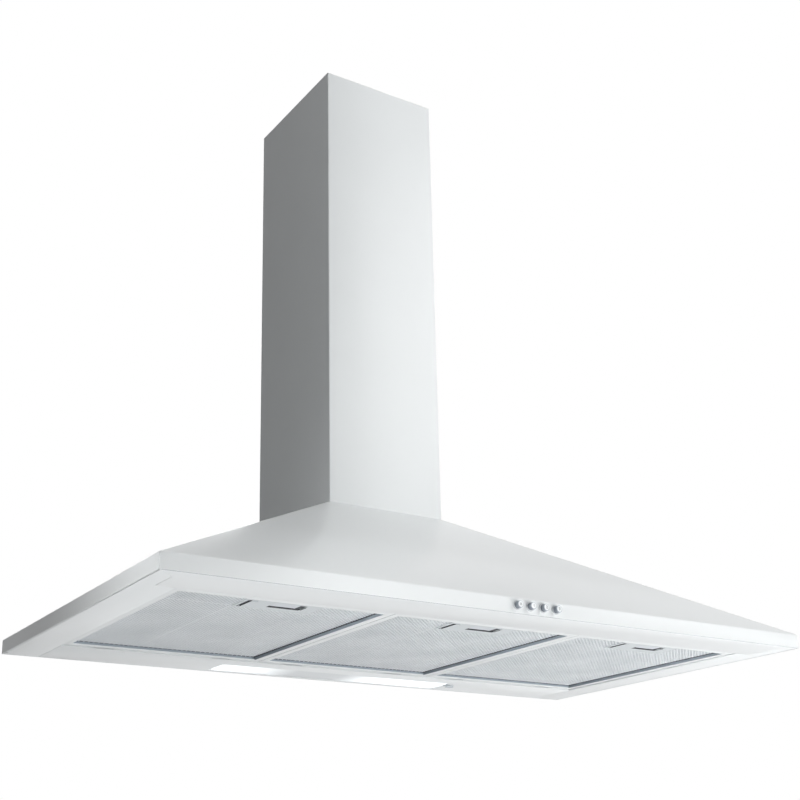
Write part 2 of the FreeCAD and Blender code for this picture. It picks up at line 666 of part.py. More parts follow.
def light_panel():
    """Rear panel: slots for the filter lugs, the light window with its flanges and the catch slot."""
    body = new_body("light_panel")
    outline = sketch_on(body, "XY_Plane")
    half = "opening_half - strip_seam"
    rectangle(outline, f"-({half})", "-light_strip", half, "-shell_sheet")
    pad(body, outline, "strip_sheet")
    lip = sketch_on(body, "XY_Plane")
    rectangle(lip, f"-({half})", "-light_strip", half, "strip_sheet - light_strip")
    pad(body, lip, "lip_height")
    upturn = sketch_on(body, "XY_Plane")
    rectangle(upturn, f"-({half})", "-(shell_sheet + strip_sheet)", half, "-shell_sheet")
    pad(body, upturn, "web_height")
    for near, far in (("-(window_front + strip_sheet)", "-window_front"),
                      ("-window_rear", "-(window_rear - strip_sheet)")):
        flange = sketch_on(body, "XY_Plane")
        rectangle(flange, "cover_left", near, "cover_right", far)
        pad(body, flange, "flange_height")

    window = sketch_on(body, "XY_Plane")
    notch = "tab_width/2 + cover_gap"
    left, right = "cover_left - cover_gap", "cover_right + cover_gap"
    polygon(window, [
        (left, "-window_front"), (right, "-window_front"),
        (right, f"-(catch_back + {notch})"), ("tab_end + cover_gap", f"-(catch_back + {notch})"),
        ("tab_end + cover_gap", f"-(catch_back - ({notch}))"), (right, f"-(catch_back - ({notch}))"),
        (right, "-window_rear"), (left, "-window_rear"),
    ])
    pocket(body, window, "strip_sheet", along_normal=True)
    slot = sketch_on(body, "XY_Plane")
    rectangle(slot, "stem_place - slot_slack", "-(catch_back + stem_length/2 + slot_slack)",
              "stem_place + stem_length + catch_travel + slot_slack", "-(catch_back - stem_length/2 - slot_slack)")
    pocket(body, slot, "strip_sheet", along_normal=True)
    pivots = sketch_on(body, "XZ_Plane", "window_front + strip_sheet")
    circle(pivots, "pivot_place", "pivot_level", "pivot_radius + pivot_slack")
    pocket(body, pivots, "cover_depth + 2*cover_gap + 2*strip_sheet")
    lugs = sketch_on(body, "XZ_Plane", "light_strip")
    reach = "lug_width/2 + lug_slack"
    for index in (-1, 0, 1):
        for side in (-0.5, 0.5):
            middle = f"{index}*filter_pitch + {side}*lug_spread"
            rectangle(lugs, f"{middle} - ({reach})", "lug_level - slot_drop",
                      f"{middle} + ({reach})", "lug_level - slot_drop + lug_slot_height")
    pocket(body, lugs, "strip_sheet")


# ---------------------------------------------------------------- grease filters and their latches
def filter_frame(name, index):
    """Rolled frame: a groove for the mesh, a slot for the tongue and two rear lugs with a bead to swing on."""
    body = new_body(name)
    outer_half = "filter_width/2"
    outline = sketch_on(body, "XY_Plane", "filter_lift")
    rectangle(outline, f"-{outer_half}", "filter_front", outer_half, "filter_back")
    inner_half = "(filter_width/2 - filter_member)"
    rectangle(outline, f"-{inner_half}", "member_front", inner_half, "member_back")
    pad(body, outline, "filter_height")
    lugs = sketch_on(body, "XY_Plane", "lug_level")
    for side in (-0.5, 0.5):
        middle = f"{side}*lug_spread"
        rectangle(lugs, f"{middle} - lug_width/2", "filter_back - filter_web",
                  f"{middle} + lug_width/2", "filter_back + lug_reach")
    pad(body, lugs, "lug_sheet")
    for side in (-0.5, 0.5):
        bead = sketch_on(body, "YZ_Plane", f"{side}*lug_spread - lug_width/2")
        circle(bead, "filter_back + lug_pivot", "lug_level + lug_sheet/2", "lug_bead")
        pad(body, bead, "lug_width")
    groove = sketch_on(body, "XY_Plane", "mesh_level - mesh_slack")
    groove_half = "(filter_width/2 - filter_web)"
    rectangle(groove, f"-{groove_half}", "filter_front + filter_web", groove_half, "filter_back - filter_web")
    pocket(body, groove, "mesh_thick + 2*mesh_slack", along_normal=True)
    slot = sketch_on(body, "XZ_Plane", "-filter_front")
    reach = "tongue_width/2 + tongue_slack"
    rectangle(slot, f"latch_offset - ({reach})", "slide_level - slide_lift",
              f"latch_offset + ({reach})", "slide_face + tongue_slack")
    pocket(body, slot, "filter_web")
    bind(body, "Placement.Base.x", f"{index}*filter_pitch")


def filter_mesh(name, index):
    """Pack of expanded mesh, notched over the latch and its side slot."""
    body = new_body(name)
    outline = sketch_on(body, "XY_Plane", "mesh_level")
    half = "(filter_width/2 - filter_web - mesh_slack)"
    front = "filter_front + filter_web + mesh_slack"
    back = "filter_back - filter_web - mesh_slack"
    notch_left, step = "relief_left - notch_margin", "relief_right + notch_margin"
    notch_back = "relief_back + notch_margin"
    polygon(outline, [
        (f"-{half}", front), (notch_left, front), (notch_left, notch_back), (step, notch_back),
        (step, "mesh_notch"), ("well_right", "mesh_notch"), ("well_right", front),
        (half, front), (half, back), (f"-{half}", back),
    ])
    pad(body, outline, "mesh_thick")
    bind(body, "Placement.Base.x", f"{index}*filter_pitch")


def latch_plate(name, index):
    """Plate under the mesh with the pull bar's opening and a relief slot beside it."""
    body = new_body(name)
    outline = sketch_on(body, "XY_Plane", "mesh_level - plate_sheet")
    rectangle(outline, "-plate_left", "member_front", "plate_right", "member_front + plate_depth")
    rectangle(outline, "well_left", "well_front", "well_right", "well_back")
    polygon(outline, [
        ("relief_left", "well_front"), ("relief_right + relief_turn", "well_front"),
        ("relief_right + relief_turn", "well_front + relief_width"), ("relief_right", "well_front + relief_width"),
        ("relief_right", "relief_back"), ("relief_left", "relief_back"),
    ])
    pad(body, outline, "plate_sheet")
    bind(body, "Placement.Base.x", f"{index}*filter_pitch")


def latch_bar(name, index):
    """Pull bar, slide and tongue in one pressing."""
    body = new_body(name)
    slide = sketch_on(body, "XY_Plane", "slide_level")
    rectangle(slide, "bar_left", "bar_front - slide_front", "bar_right", "slide_end")
    pad(body, slide, "slide_sheet")
    tongue = sketch_on(body, "XY_Plane", "slide_level")
    rectangle(tongue, "latch_offset - tongue_width/2", "filter_front - tongue_reach",
              "latch_offset + tongue_width/2", "bar_front - slide_front")
    pad(body, tongue, "slide_sheet")
    grip = sketch_on(body, "XY_Plane", "slide_level")
    rectangle(grip, "bar_left", "bar_front", "bar_right", "bar_back")
    pad(body, grip, "bar_drop", reverse=True)
    underside = size["filter_lift"] + size["mesh_recess"] + size["slide_lift"] - size["bar_drop"] + 0.01
    round_edges(body, "bar_round", lambda edge: edge.BoundBox.ZMax < underside)
    bind(body, "Placement.Base.x", f"{index}*filter_pitch")


def latch_spring(name, index):
    """Bowed strip between the slide and the mesh pack; the latch presses it flat."""
    body = new_body(name)
    outline = sketch_on(body, "XY_Plane", "slide_level")
    near, far = "slide_end", "mesh_notch"
    half, flat = "spring_width/2", "spring_flat/2"
    polygon(outline, [
        (f"latch_offset - {half}", far), (f"latch_offset - {half}", f"{far} - spring_leaf"),
        (f"latch_offset - {flat}", near), (f"latch_offset + {flat}", near),
        (f"latch_offset + {half}", f"{far} - spring_leaf"), (f"latch_offset + {half}", far),
        (f"latch_offset + {flat}", f"{near} + spring_leaf"), (f"latch_offset - {flat}", f"{near} + spring_leaf"),
    ])
    pad(body, outline, "slide_sheet")
    bind(body, "Placement.Base.x", f"{index}*filter_pitch")


# ---------------------------------------------------------------- light
def light_tray():
    """Open-bottomed housing over the light window."""
    body = new_body("light_tray")
    outline = sketch_on(body, "XY_Plane", "strip_sheet")
    rectangle(outline, "tray_left", "-tray_nose", "tray_right", "-tray_rear")
    pad(body, outline, "tray_height")
    hollow = sketch_on(body, "XY_Plane", "strip_sheet")
    rectangle(hollow, "tray_left + tray_sheet", "-(tray_nose - tray_sheet)",
              "tray_right - tray_sheet", "-(tray_rear + tray_sheet)")
    pocket(body, hollow, "tray_height - tray_sheet", along_normal=True)


def light_cover():
    """Clear cover with two pivot pins at its left end and a tab for the catch at its right."""
    body = new_body("light_cover")
    outline = sketch_on(body, "XY_Plane", "cover_lift")
    rectangle(outline, "cover_left", "-cover_front", "cover_right", "-cover_rear")
    pad(body, outline, "cover_thick")
    round_edges(body, "cover_corner", lambda edge: runs_along(edge, UP))
    round_edges(body, "cover_round", lambda edge: edge.BoundBox.ZMax < size["cover_lift"] + 0.01)
    tab = sketch_on(body, "XY_Plane", "tab_level")
    rectangle(tab, "cover_right - tab_root", "-(catch_back + tab_width/2)",
              "tab_end", "-(catch_back - tab_width/2)")
    pad(body, tab, "tab_thick")
    pins = sketch_on(body, "XZ_Plane", "cover_front + cover_gap + strip_sheet")
    circle(pins, "pivot_place", "pivot_level", "pivot_radius")
    pad(body, pins, "cover_depth + 2*cover_gap + 2*strip_sheet", reverse=True)


def light_catch():
    """Sliding catch: a blade on the panel's upper side, a stem through its slot and a finger knob."""
    body = new_body("light_catch")
    blade = sketch_on(body, "XY_Plane", "catch_level")
    rectangle(blade, "catch_tip", "-(catch_back + catch_width/2)",
              "catch_tip + catch_length", "-(catch_back - catch_width/2)")
    pad(body, blade, "catch_blade")
    stem = sketch_on(body, "XY_Plane", "-knob_gap")
    rectangle(stem, "stem_place", "-(catch_back + stem_length/2)",
              "stem_place + stem_length", "-(catch_back - stem_length/2)")
    pad(body, stem, "catch_level + knob_gap")
    knob = sketch_on(body, "XY_Plane", "-knob_gap")
    middle = "stem_place + stem_length/2"
    rectangle(knob, f"{middle} - knob_length/2", "-(catch_back + knob_width/2)",
              f"{middle} + knob_length/2", "-(catch_back - knob_width/2)")
    pad(body, knob, "knob_drop", reverse=True)
    round_edges(body, "(knob_width - knob_flat)/2", lambda edge: runs_along(edge, UP) and edge.BoundBox.ZMin < -1)


def lamps():
    """Two lamp holders on the tray's ends and the two lamps in them."""
    holders, bulbs = [], []
    for name, side in (("left", -1), ("right", 1)):
        back_end = f"light_offset + {side}*(tray_half - tray_sheet)"
        start = f"{back_end} - {(side + 1) / 2}*holder_length"
        ring = cylinder(f"holder_{name}", "holder_radius", "holder_length", start, "-cover_back",
                        "lamp_height", ALONG_X)
        socket_start = f"light_offset + {side}*(tray_half - tray_sheet - holder_length + cap_length/2)"
        socket = cylinder(f"socket_{name}", "cap_radius", "cap_length",
                          f"{socket_start} - cap_length/2", "-cover_back", "lamp_height", ALONG_X)
        holders.append(boolean("Cut", f"lamp_holder_{name}", [ring, socket]))
        cap = cylinder(f"cap_{name}", "cap_radius", "cap_length",
                       f"{socket_start} - cap_length/2", "-cover_back", "lamp_height", ALONG_X)
        glass_near = f"light_offset + {side}*(tray_half - tray_sheet - holder_length - bulb_length/2)"
        glass = cylinder(f"glass_{name}", "bulb_radius", "bulb_length",
                         f"{glass_near} - bulb_length/2", "-cover_back", "lamp_height", ALONG_X)
        tip = doc.addObject("Part::Sphere", f"tip_{name}")
        bind(tip, "Radius", "bulb_radius")
        place(tip, f"light_offset + {side}*(tray_half - tray_sheet - holder_length - bulb_length)",
              "-cover_back", "lamp_height")
        bulbs.append(boolean("MultiFuse", f"bulb_{name}", [cap, glass, tip]))
    finished.append(boolean("Compound", "lamp_holders", holders))
    finished.append(boolean("Compound", "lamp_bulbs", bulbs))


# ---------------------------------------------------------------- buttons
def button(name, index):
    """Round cap with its stem, along Y."""
    across = f"button_offset + ({index} - 1.5)*button_pitch"
    body = new_body(name)
    cap = sketch_on(body, "XZ_Plane", "button_reach")
    circle(cap, "0", "0", "button_radius")
    pad(body, cap, "button_length", reverse=True)
    stem = sketch_on(body, "XZ_Plane", "cap_back")
    circle(stem, "0", "0", "button_stem")
    pad(body, stem, "stem_reach", reverse=True)
    front = -size["button_reach"] + 0.01
    round_edges(body, "button_round", lambda edge: edge.BoundBox.YMax < front)
    place(body, across, "-depth", "button_level")


def button_bezels():
    rings = []
    for index in range(4):
        across = f"button_offset + ({index} - 1.5)*button_pitch"
        flange = cylinder(f"bezel_flange_{index}", "bezel_radius", "bezel_flange",
                          across, "-depth - bezel_flange", "button_level", ALONG_Y)
        sleeve = cylinder(f"bezel_sleeve_{index}", "bezel_sleeve", "bezel_depth",
                          across, "-depth", "button_level", ALONG_Y)
        outer = boolean("MultiFuse", f"bezel_outer_{index}", [flange, sleeve])
        bore = cylinder(f"bezel_bore_{index}", "bezel_bore", "bezel_flange + bezel_depth",
                        across, "-depth - bezel_flange", "button_level", ALONG_Y)
        rings.append(boolean("Cut", f"bezel_{index}", [outer, bore]))
    finished.append(boolean("Compound", "button_bezels", rings))


def switch_block():
    """Switch housing behind the fascia with a well for each stem."""
    body = new_body("switch_block")
    outline = sketch_on(body, "XY_Plane", "strip_sheet")
    rectangle(outline, "button_offset - switch_width/2", "-(depth - switch_gap)",
              "button_offset + switch_width/2", "-(depth - switch_gap - switch_depth)")
    pad(body, outline, "switch_height")
    wells = sketch_on(body, "XZ_Plane", "depth - switch_gap")
    for index in range(4):
        circle(wells, f"button_offset + ({index} - 1.5)*button_pitch", "button_level", "switch_bore")
    pocket(body, wells, "switch_well")


# ---------------------------------------------------------------- blower
def scroll_face(grow, across):
    """The scroll's outline in the plane X = across, about the fan axis, moved outwards by grow.

    Three quarter arcs grow from the tongue over the front and bottom to the rear; the outlet rises to the top plate.
    """
    start, step, tongue = size["scroll_start"], size["scroll_step"], size["scroll_tongue"]
    top = size["canopy_top"] + size["upstand_height"] - size["fan_height"]

    def point(centre, radius, turn):
        y, z = centre
        return FreeCAD.Vector(across, y + radius * math.cos(turn), z + radius * math.sin(turn))

    tongue_height = math.sqrt((start + tongue) ** 2 - tongue ** 2)
    tongue_centre = (-tongue, tongue_height)
    first_turn = math.atan2(tongue_height, -tongue)
    touch = first_turn - math.pi
    edges = [Part.Arc(*[point(tongue_centre, tongue - grow, touch * part) for part in (0, 0.5, 1)]).toShape()]
    for quarter, centre in enumerate([(0, 0), (step, 0), (step, step)]):
        turns = [math.pi / 2 * (1 + quarter), math.pi / 2 * (2 + quarter)]
        if quarter == 0:
            turns[0] = first_turn
        middle = sum(turns) / 2
        radius = start + grow + quarter * step
        edges.append(Part.Arc(*[point(centre, radius, turn) for turn in (turns[0], middle, turns[1])]).toShape())
    rear = edges[-1].Vertexes[-1].Point
    front = edges[0].Vertexes[0].Point
    outlet_rear = FreeCAD.Vector(across, rear.y, top)
    outlet_front = FreeCAD.Vector(across, front.y, top)
    edges += [Part.makeLine(rear, outlet_rear), Part.makeLine(outlet_rear, outlet_front)]
    edges.append(Part.makeLine(outlet_front, front))
    return Part.Face(Part.Wire(edges))


def solid_node(label, shape, across="0", back="0", level="0"):
    node = doc.addObject("Part::Feature", label)
    node.Label = label
    node.Shape = shape
    place(node, across, back, level)
    finished.append(node)
    return node


def blower_scroll():
    """The rolled wrap of the blower housing."""
    wall, width = size["scroll_sheet"], size["scroll_width"]
    run = FreeCAD.Vector(width, 0, 0)
    outer = scroll_face(wall, -width / 2).extrude(run)
    inner = scroll_face(0, -width / 2).extrude(run)
    solid_node("blower_scroll", outer.cut(inner), "0", "-fan_back", "fan_height")


def blower_cheek(name, side):
    """Side of the blower housing: scroll outline with a rim, the inlet hole and a foot under the top plate."""
    wall, half = size["scroll_sheet"], size["scroll_width"] / 2
    near = half if side > 0 else -half - wall
    cheek = scroll_face(size["cheek_rim"], near).extrude(FreeCAD.Vector(wall, 0, 0))
    inlet = Part.makeCylinder(size["inlet_radius"] + size["inlet_wall"], wall,
                              FreeCAD.Vector(near, 0, 0), FreeCAD.Vector(1, 0, 0))
    top = size["canopy_top"] + size["upstand_height"] - size["fan_height"]
    foot_front = size["scroll_start"] + 3 * size["scroll_step"]
    foot_start = half + wall if side > 0 else -half - wall - size["foot_width"]
    foot = Part.makeBox(size["foot_width"], foot_front, wall, FreeCAD.Vector(foot_start, 0, top - wall))
    solid_node(name, cheek.cut(inlet).fuse(foot).removeSplitter(), "0", "-fan_back", "fan_height")


def inlet_ring(name, side):
    """Bell-mouth ring pressed into the cheek's inlet: a throat and a lip with a rounded passage between them."""
    body = new_body(name)
    profile = sketch_on(body, "XZ_Plane")
    throat = f"{side}*(scroll_half - inlet_throat)"
    lip = f"{side}*(cheek_face + inlet_lip)"
    lip_back = f"{side}*(cheek_face + inlet_lip - inlet_wall)"
    polygon(profile, [
        (throat, "inlet_radius"), (lip, "inlet_radius"), (lip, "inlet_radius + inlet_flare"),
        (lip_back, "inlet_radius + inlet_flare"), (lip_back, "inlet_radius + inlet_wall"),
        (throat, "inlet_radius + inlet_wall"),
    ])
    revolve(body, profile)

    def corner(radius, reach):
        """Picks the ring edge of that radius at that distance from the wheel's middle."""
        return lambda edge: (edge.Closed and abs(edge.Curve.Radius - radius) < 0.01
                             and abs(abs(edge.Curve.Center.x) - reach) < 0.01)

    reach = size["scroll_width"] / 2 + size["scroll_sheet"] + size["inlet_lip"]
    round_edges(body, "flare_radius", corner(size["inlet_radius"], reach))
    back_corner = corner(size["inlet_radius"] + size["inlet_wall"], reach - size["inlet_wall"])
    round_edges(body, "flare_radius - inlet_wall", back_corner)
    place(body, "0", "-fan_back", "fan_height")


def fan_wheel():
    """Forward-curved double-inlet wheel: bowed blades between two end rings, on a middle disc with a hub."""
    outer, inner = size["wheel_radius"], size["wheel_inner"]
    width, ring = size["wheel_width"], size["wheel_ring"]
    axis = FreeCAD.Vector(1, 0, 0)

    def disc(radius, hole, start, length):
        base = FreeCAD.Vector(start, 0, 0)
        full = Part.makeCylinder(radius, length, base, axis)
        return full.cut(Part.makeCylinder(hole, length, base, axis)) if hole else full

    def blade_edge(back):
        """The bowed line of a blade, from the inner to the outer edge, moved round by back."""
        low, high = inner - size["blade_seat"], outer - size["blade_seat"]
        points = [(low, 0), ((low + high) / 2, size["blade_belly"]), (high, size["blade_sweep"])]
        return [FreeCAD.Vector(-width / 2, round_by + back, radius) for radius, round_by in points]

    front = blade_edge(0)
    rear = blade_edge(size["blade_sheet"])
    outline = Part.Wire([
        Part.Arc(*front).toShape(), Part.makeLine(front[2], rear[2]),
        Part.Arc(*reversed(rear)).toShape(), Part.makeLine(rear[0], front[0]),
    ])
    blade = Part.Face(outline).extrude(FreeCAD.Vector(width, 0, 0))
    count = int(size["blade_count"])
    blades = []
    for index in range(count):
        copy = blade.copy()
        copy.rotate(FreeCAD.Vector(0, 0, 0), axis, 360 * index / count)
        blades.append(copy)
    disc_sheet, bore, lap = size["disc_sheet"], size["shaft_radius"], size["ring_lap"]
    rings = [disc(outer, inner - lap, start, ring) for start in (-width / 2, width / 2 - ring)]
    middle = disc(outer - lap, bore, -disc_sheet / 2, disc_sheet)
    hub = disc(size["hub_radius"], bore, -size["hub_left"], size["hub_left"] + size["hub_right"])
    wheel = middle.multiFuse([hub] + rings + blades)
    solid_node("fan_wheel", wheel, "0", "-fan_back", "fan_height")


def motor():
    """Motor with its bearing bore, and the shaft that turns with the wheel."""
    body = new_body("motor")
    profile = sketch_on(body, "XZ_Plane")
    boss_front = "motor_front - boss_reach"
    motor_end = "motor_front + motor_length"
    bore = "shaft_radius + shaft_slack"
    polygon(profile, [
        (boss_front, bore), (boss_front, "motor_boss"), ("motor_front", "motor_boss"),
        ("motor_front", "motor_radius - motor_chamfer"), ("motor_front + motor_chamfer", "motor_radius"),
        (f"{motor_end} - motor_chamfer", "motor_radius"), (motor_end, "motor_radius - motor_chamfer"),
        (motor_end, "motor_boss"), (f"{motor_end} + boss_reach", "motor_boss"),
        (f"{motor_end} + boss_reach", "0"), ("bore_end", "0"), ("bore_end", bore),
    ])
    revolve(body, profile)
    place(body, "0", "-fan_back", "fan_height")
    shaft = cylinder("motor_shaft", "shaft_radius", "hub_left + shaft_end", "-hub_left",
                     "-fan_back", "fan_height", ALONG_X)
    finished.append(shaft)


def motor_bracket():
    """Ring round the motor with three arms, on rubber mounts that stand on the right cheek."""
    body = new_body("motor_bracket")
    ring = sketch_on(body, "YZ_Plane", "cheek_face + mount_length")
    circle(ring, "0", "0", "motor_radius + arm_ring")
    circle(ring, "0", "0", "motor_radius")
    pad(body, ring, "arm_sheet")
    arm = sketch_on(body, "YZ_Plane", "cheek_face + mount_length")
    rectangle(arm, "motor_radius + arm_ring/2", "-arm_width/2", "mount_circle + mount_radius", "arm_width/2")
    arm_pad = pad(body, arm, "arm_sheet")
    pattern = body.newObject("PartDesign::PolarPattern", "bracket_arms")
    pattern.Originals = [arm_pad]
    pattern.Axis = (ring, ["N_Axis"])
    pattern.Angle = 360
    pattern.Occurrences = 3
    body.Tip = pattern
    place(body, "0", "-fan_back", "fan_height")

    mounts = []
    for index in range(3):
        turn = 120 * index
        back = f"-fan_back + mount_circle*cos({turn} deg)"
        level = f"fan_height + mount_circle*sin({turn} deg)"
        mounts.append(cylinder(f"rubber_mount_{index}", "mount_radius", "mount_length",
                               "cheek_face", back, level, ALONG_X))
    finished.append(boolean("Compound", "motor_mounts", mounts))


# ---------------------------------------------------------------- outlet
def top_plate():
    """Plate on the upstand that the blower hangs from, with the outlet and the gland's hole."""
    body = new_body("top_plate")
    outline = sketch_on(body, "XY_Plane", "plate_level")
    rectangle(outline, "-upstand_half", "-upstand_front", "upstand_half", "-shell_sheet")
    rectangle(outline, "-scroll_half", "-fan_back", "scroll_half", "-scroll_rear")
    circle(outline, "-gland_left", "-gland_back", "gland_radius")
    pad(body, outline, "plate_top_sheet")


def outlet_collar():
    """Square flange, cone and round duct collar with a stop ledge for the flaps."""
    body = new_body("outlet_collar")
    flange = sketch_on(body, "XY_Plane", "plate_face")
    rectangle(flange, "-collar_flange/2", "-(outlet_middle + collar_flange/2)",
              "collar_flange/2", "-(outlet_middle - collar_flange/2)")
    circle(flange, "0", "-outlet_middle", "collar_radius + collar_foot - collar_wall")
    pad(body, flange, "collar_wall")
    doc.recompute()
    low = sketch_on(body, "XY_Plane", "plate_face + collar_wall")
    circle(low, "0", "-outlet_middle", "collar_radius + collar_foot")
    high = sketch_on(body, "XY_Plane", "plate_face + collar_wall + collar_cone")
    circle(high, "0", "-outlet_middle", "collar_radius")
    loft(body, "AdditiveLoft", low, high)
    tube = sketch_on(body, "XY_Plane", "plate_face + collar_wall + collar_cone")
    circle(tube, "0", "-outlet_middle", "collar_radius")
    pad(body, tube, "collar_height - collar_wall - collar_cone")
    low_in = sketch_on(body, "XY_Plane", "plate_face + collar_wall")
    circle(low_in, "0", "-outlet_middle", "collar_radius + collar_foot - collar_wall")
    high_in = sketch_on(body, "XY_Plane", "plate_face + collar_wall + collar_cone")
    circle(high_in, "0", "-outlet_middle", "collar_radius - collar_wall")
    loft(body, "SubtractiveLoft", low_in, high_in)
    bore = sketch_on(body, "XY_Plane", "plate_face + collar_wall + collar_cone")
    circle(bore, "0", "-outlet_middle", "collar_radius - collar_wall")
    pocket(body, bore, "collar_height", along_normal=True)
    ledge = sketch_on(body, "XY_Plane", "ledge_level - ledge_thick")
    circle(ledge, "0", "-outlet_middle", "collar_radius - collar_wall/2")
    circle(ledge, "0", "-outlet_middle", "collar_radius - collar_wall - ledge_reach")
    pad(body, ledge, "ledge_thick")


def flap(name, side):
    """Half-round damper flap with two knuckles on its pin."""
    axis = f"-outlet_middle + {side}*flap_axis"
    body = new_body(name)
    plate = sketch_on(body, "XY_Plane", "-flap_thick/2")
    circle(plate, "0", f"-{side}*flap_axis", "collar_radius - collar_wall - flap_gap")
    pad(body, plate, "flap_thick")
    spare = sketch_on(body, "XY_Plane", "-flap_thick")
    reach = "(collar_radius + flap_axis)"
    low, high = (f"-{reach}", "0") if side > 0 else ("0", reach)
    rectangle(spare, f"-{reach}", low, reach, high)
    pocket(body, spare, "2*flap_thick", along_normal=True)
    for middle in (-0.5, 0.5):
        knuckle = sketch_on(body, "YZ_Plane", f"{middle}*knuckle_spread - knuckle_length/2")
        circle(knuckle, "0", "0", "flap_knuckle")
        pad(body, knuckle, "knuckle_length")
    bore = sketch_on(body, "YZ_Plane", "-collar_radius")
    circle(bore, "0", "0", "flap_pin + flap_slack")
    pocket(body, bore, "2*collar_radius", along_normal=True)
    place(body, "0", axis, "flap_level")


def flap_pins():
    pins = []
    for name, side in (("front", -1), ("rear", 1)):
        pins.append(cylinder(f"pin_{name}", "flap_pin", "2*pin_reach", "-pin_reach",
                             f"-outlet_middle + {side}*flap_axis", "flap_level", ALONG_X))
    finished.append(boolean("Compound", "flap_pins", pins))


# ---------------------------------------------------------------- chimney
def chimney_cover(name, half, front, back, foot, length):
    """Folded U of sheet with returns along its back edges, open top and bottom."""
    body = new_body(name)
    outline = sketch_on(body, "XY_Plane", foot)
    inner = f"({half} - duct_sheet)"
    hem = f"({half} - return_width)"
    polygon(outline, [
        (f"-{hem}", f"-{back}"), (f"-{half}", f"-{back}"), (f"-{half}", f"-{front}"),
        (half, f"-{front}"), (half, f"-{back}"), (hem, f"-{back}"),
        (hem, f"-({back} + duct_sheet)"), (inner, f"-({back} + duct_sheet)"),
        (inner, f"-({front} - duct_sheet)"), (f"-{inner}", f"-({front} - duct_sheet)"),
        (f"-{inner}", f"-({back} + duct_sheet)"), (f"-{hem}", f"-({back} + duct_sheet)"),
    ])
    pad(body, outline, length)


def wall_bar():
    """Plate on the wall that the lower chimney's returns are screwed to."""
    body = new_body("chimney_wall_bar")
    outline = sketch_on(body, "XZ_Plane", "duct_sheet")
    rectangle(outline, "-(lower_inner - bar_slack)", "wall_bar_level - wall_bar_height",
              "lower_inner - bar_slack", "wall_bar_level")
    for side in (-1, 1):
        circle(outline, f"{side}*wall_bar_spacing/2", "wall_bar_level - wall_bar_height/2", "wall_bar_hole")
    pad(body, outline, "wall_bar_sheet")


def head_bar():
    """U-shaped bracket screwed inside the top of the upper chimney."""
    body = new_body("chimney_head_bar")
    level = "head_bar_level - head_bar_height"
    outline = sketch_on(body, "XY_Plane", level)
    outer = "(upper_half - duct_sheet)"
    inner = f"({outer} - wall_bar_sheet)"
    near = "(nest_back + duct_sheet)"
    polygon(outline, [
        (f"-{outer}", f"-{near}"), (f"-{outer}", f"-({near} + head_bar_ear)"),
        (f"-{inner}", f"-({near} + head_bar_ear)"), (f"-{inner}", f"-({near} + wall_bar_sheet)"),
        (inner, f"-({near} + wall_bar_sheet)"), (inner, f"-({near} + head_bar_ear)"),
        (outer, f"-({near} + head_bar_ear)"), (outer, f"-{near}"),
    ])
    pad(body, outline, "head_bar_height")
    holes = sketch_on(body, "XZ_Plane", "nest_back")
    for side in (-1, 1):
        circle(holes, f"{side}*wall_bar_spacing/2", "head_bar_level - head_bar_height/2", "wall_bar_hole")
    pocket(body, holes, "duct_sheet + 2*wall_bar_sheet", along_normal=True)


# ---------------------------------------------------------------- electrics
def terminal_box():
    """Open box on the back panel and its lid."""
    body = new_body("terminal_box")
    outline = sketch_on(body, "XZ_Plane", "shell_sheet")
    rectangle(outline, "box_left", "box_lift", "box_right", "box_lift + box_height")
    pad(body, outline, "box_depth")
    hollow = sketch_on(body, "XZ_Plane", "shell_sheet + box_wall")
    rectangle(hollow, "box_left + box_wall", "box_lift + box_wall",
              "box_right - box_wall", "box_lift + box_height - box_wall")
    pocket(body, hollow, "box_depth", along_normal=True)
    lid = new_body("terminal_lid")
    cover = sketch_on(lid, "XZ_Plane", "shell_sheet + box_depth")
    rectangle(cover, "box_left", "box_lift", "box_right", "box_lift + box_height")
    pad(lid, cover, "lid_sheet")
    round_edges(lid, "lid_corner", lambda edge: runs_along(edge, FreeCAD.Vector(0, 1, 0)))


def cable_gland():
    """Gland through the top plate for the supply cord, with a six-sided nut under the plate."""
    body = new_body("cable_gland")
    bush = sketch_on(body, "XY_Plane", "gland_base")
    circle(bush, "0", "0", "gland_radius")
    pad(body, bush, "gland_tail + plate_top_sheet + gland_head")
    nut = sketch_on(body, "XY_Plane", "plate_level")
    corner = "gland_nut"
    side = "gland_nut*sqrt(3)/2"
    polygon(nut, [
        (corner, "0"), (f"{corner}/2", side), (f"-{corner}/2", side),
        (f"-{corner}", "0"), (f"-{corner}/2", f"-{side}"), (f"{corner}/2", f"-{side}"),
    ])
    pad(body, nut, "nut_height", reverse=True)
    head = sketch_on(body, "XY_Plane", "plate_face")
    circle(head, "0", "0", "gland_nut")
    pad(body, head, "gland_shoulder")
    bore = sketch_on(body, "XY_Plane", "gland_base")
    circle(bore, "0", "0", "gland_bore")
    pocket(body, bore, "gland_tail + plate_top_sheet + gland_head", along_normal=True)
    place(body, "-gland_left", "-gland_back", "0")


def capacitor():
    can = cylinder("capacitor", "capacitor_radius", "capacitor_length", "-capacitor_left",
                   "-(shell_sheet + capacitor_radius)", "capacitor_lift")
    finished.append(can)


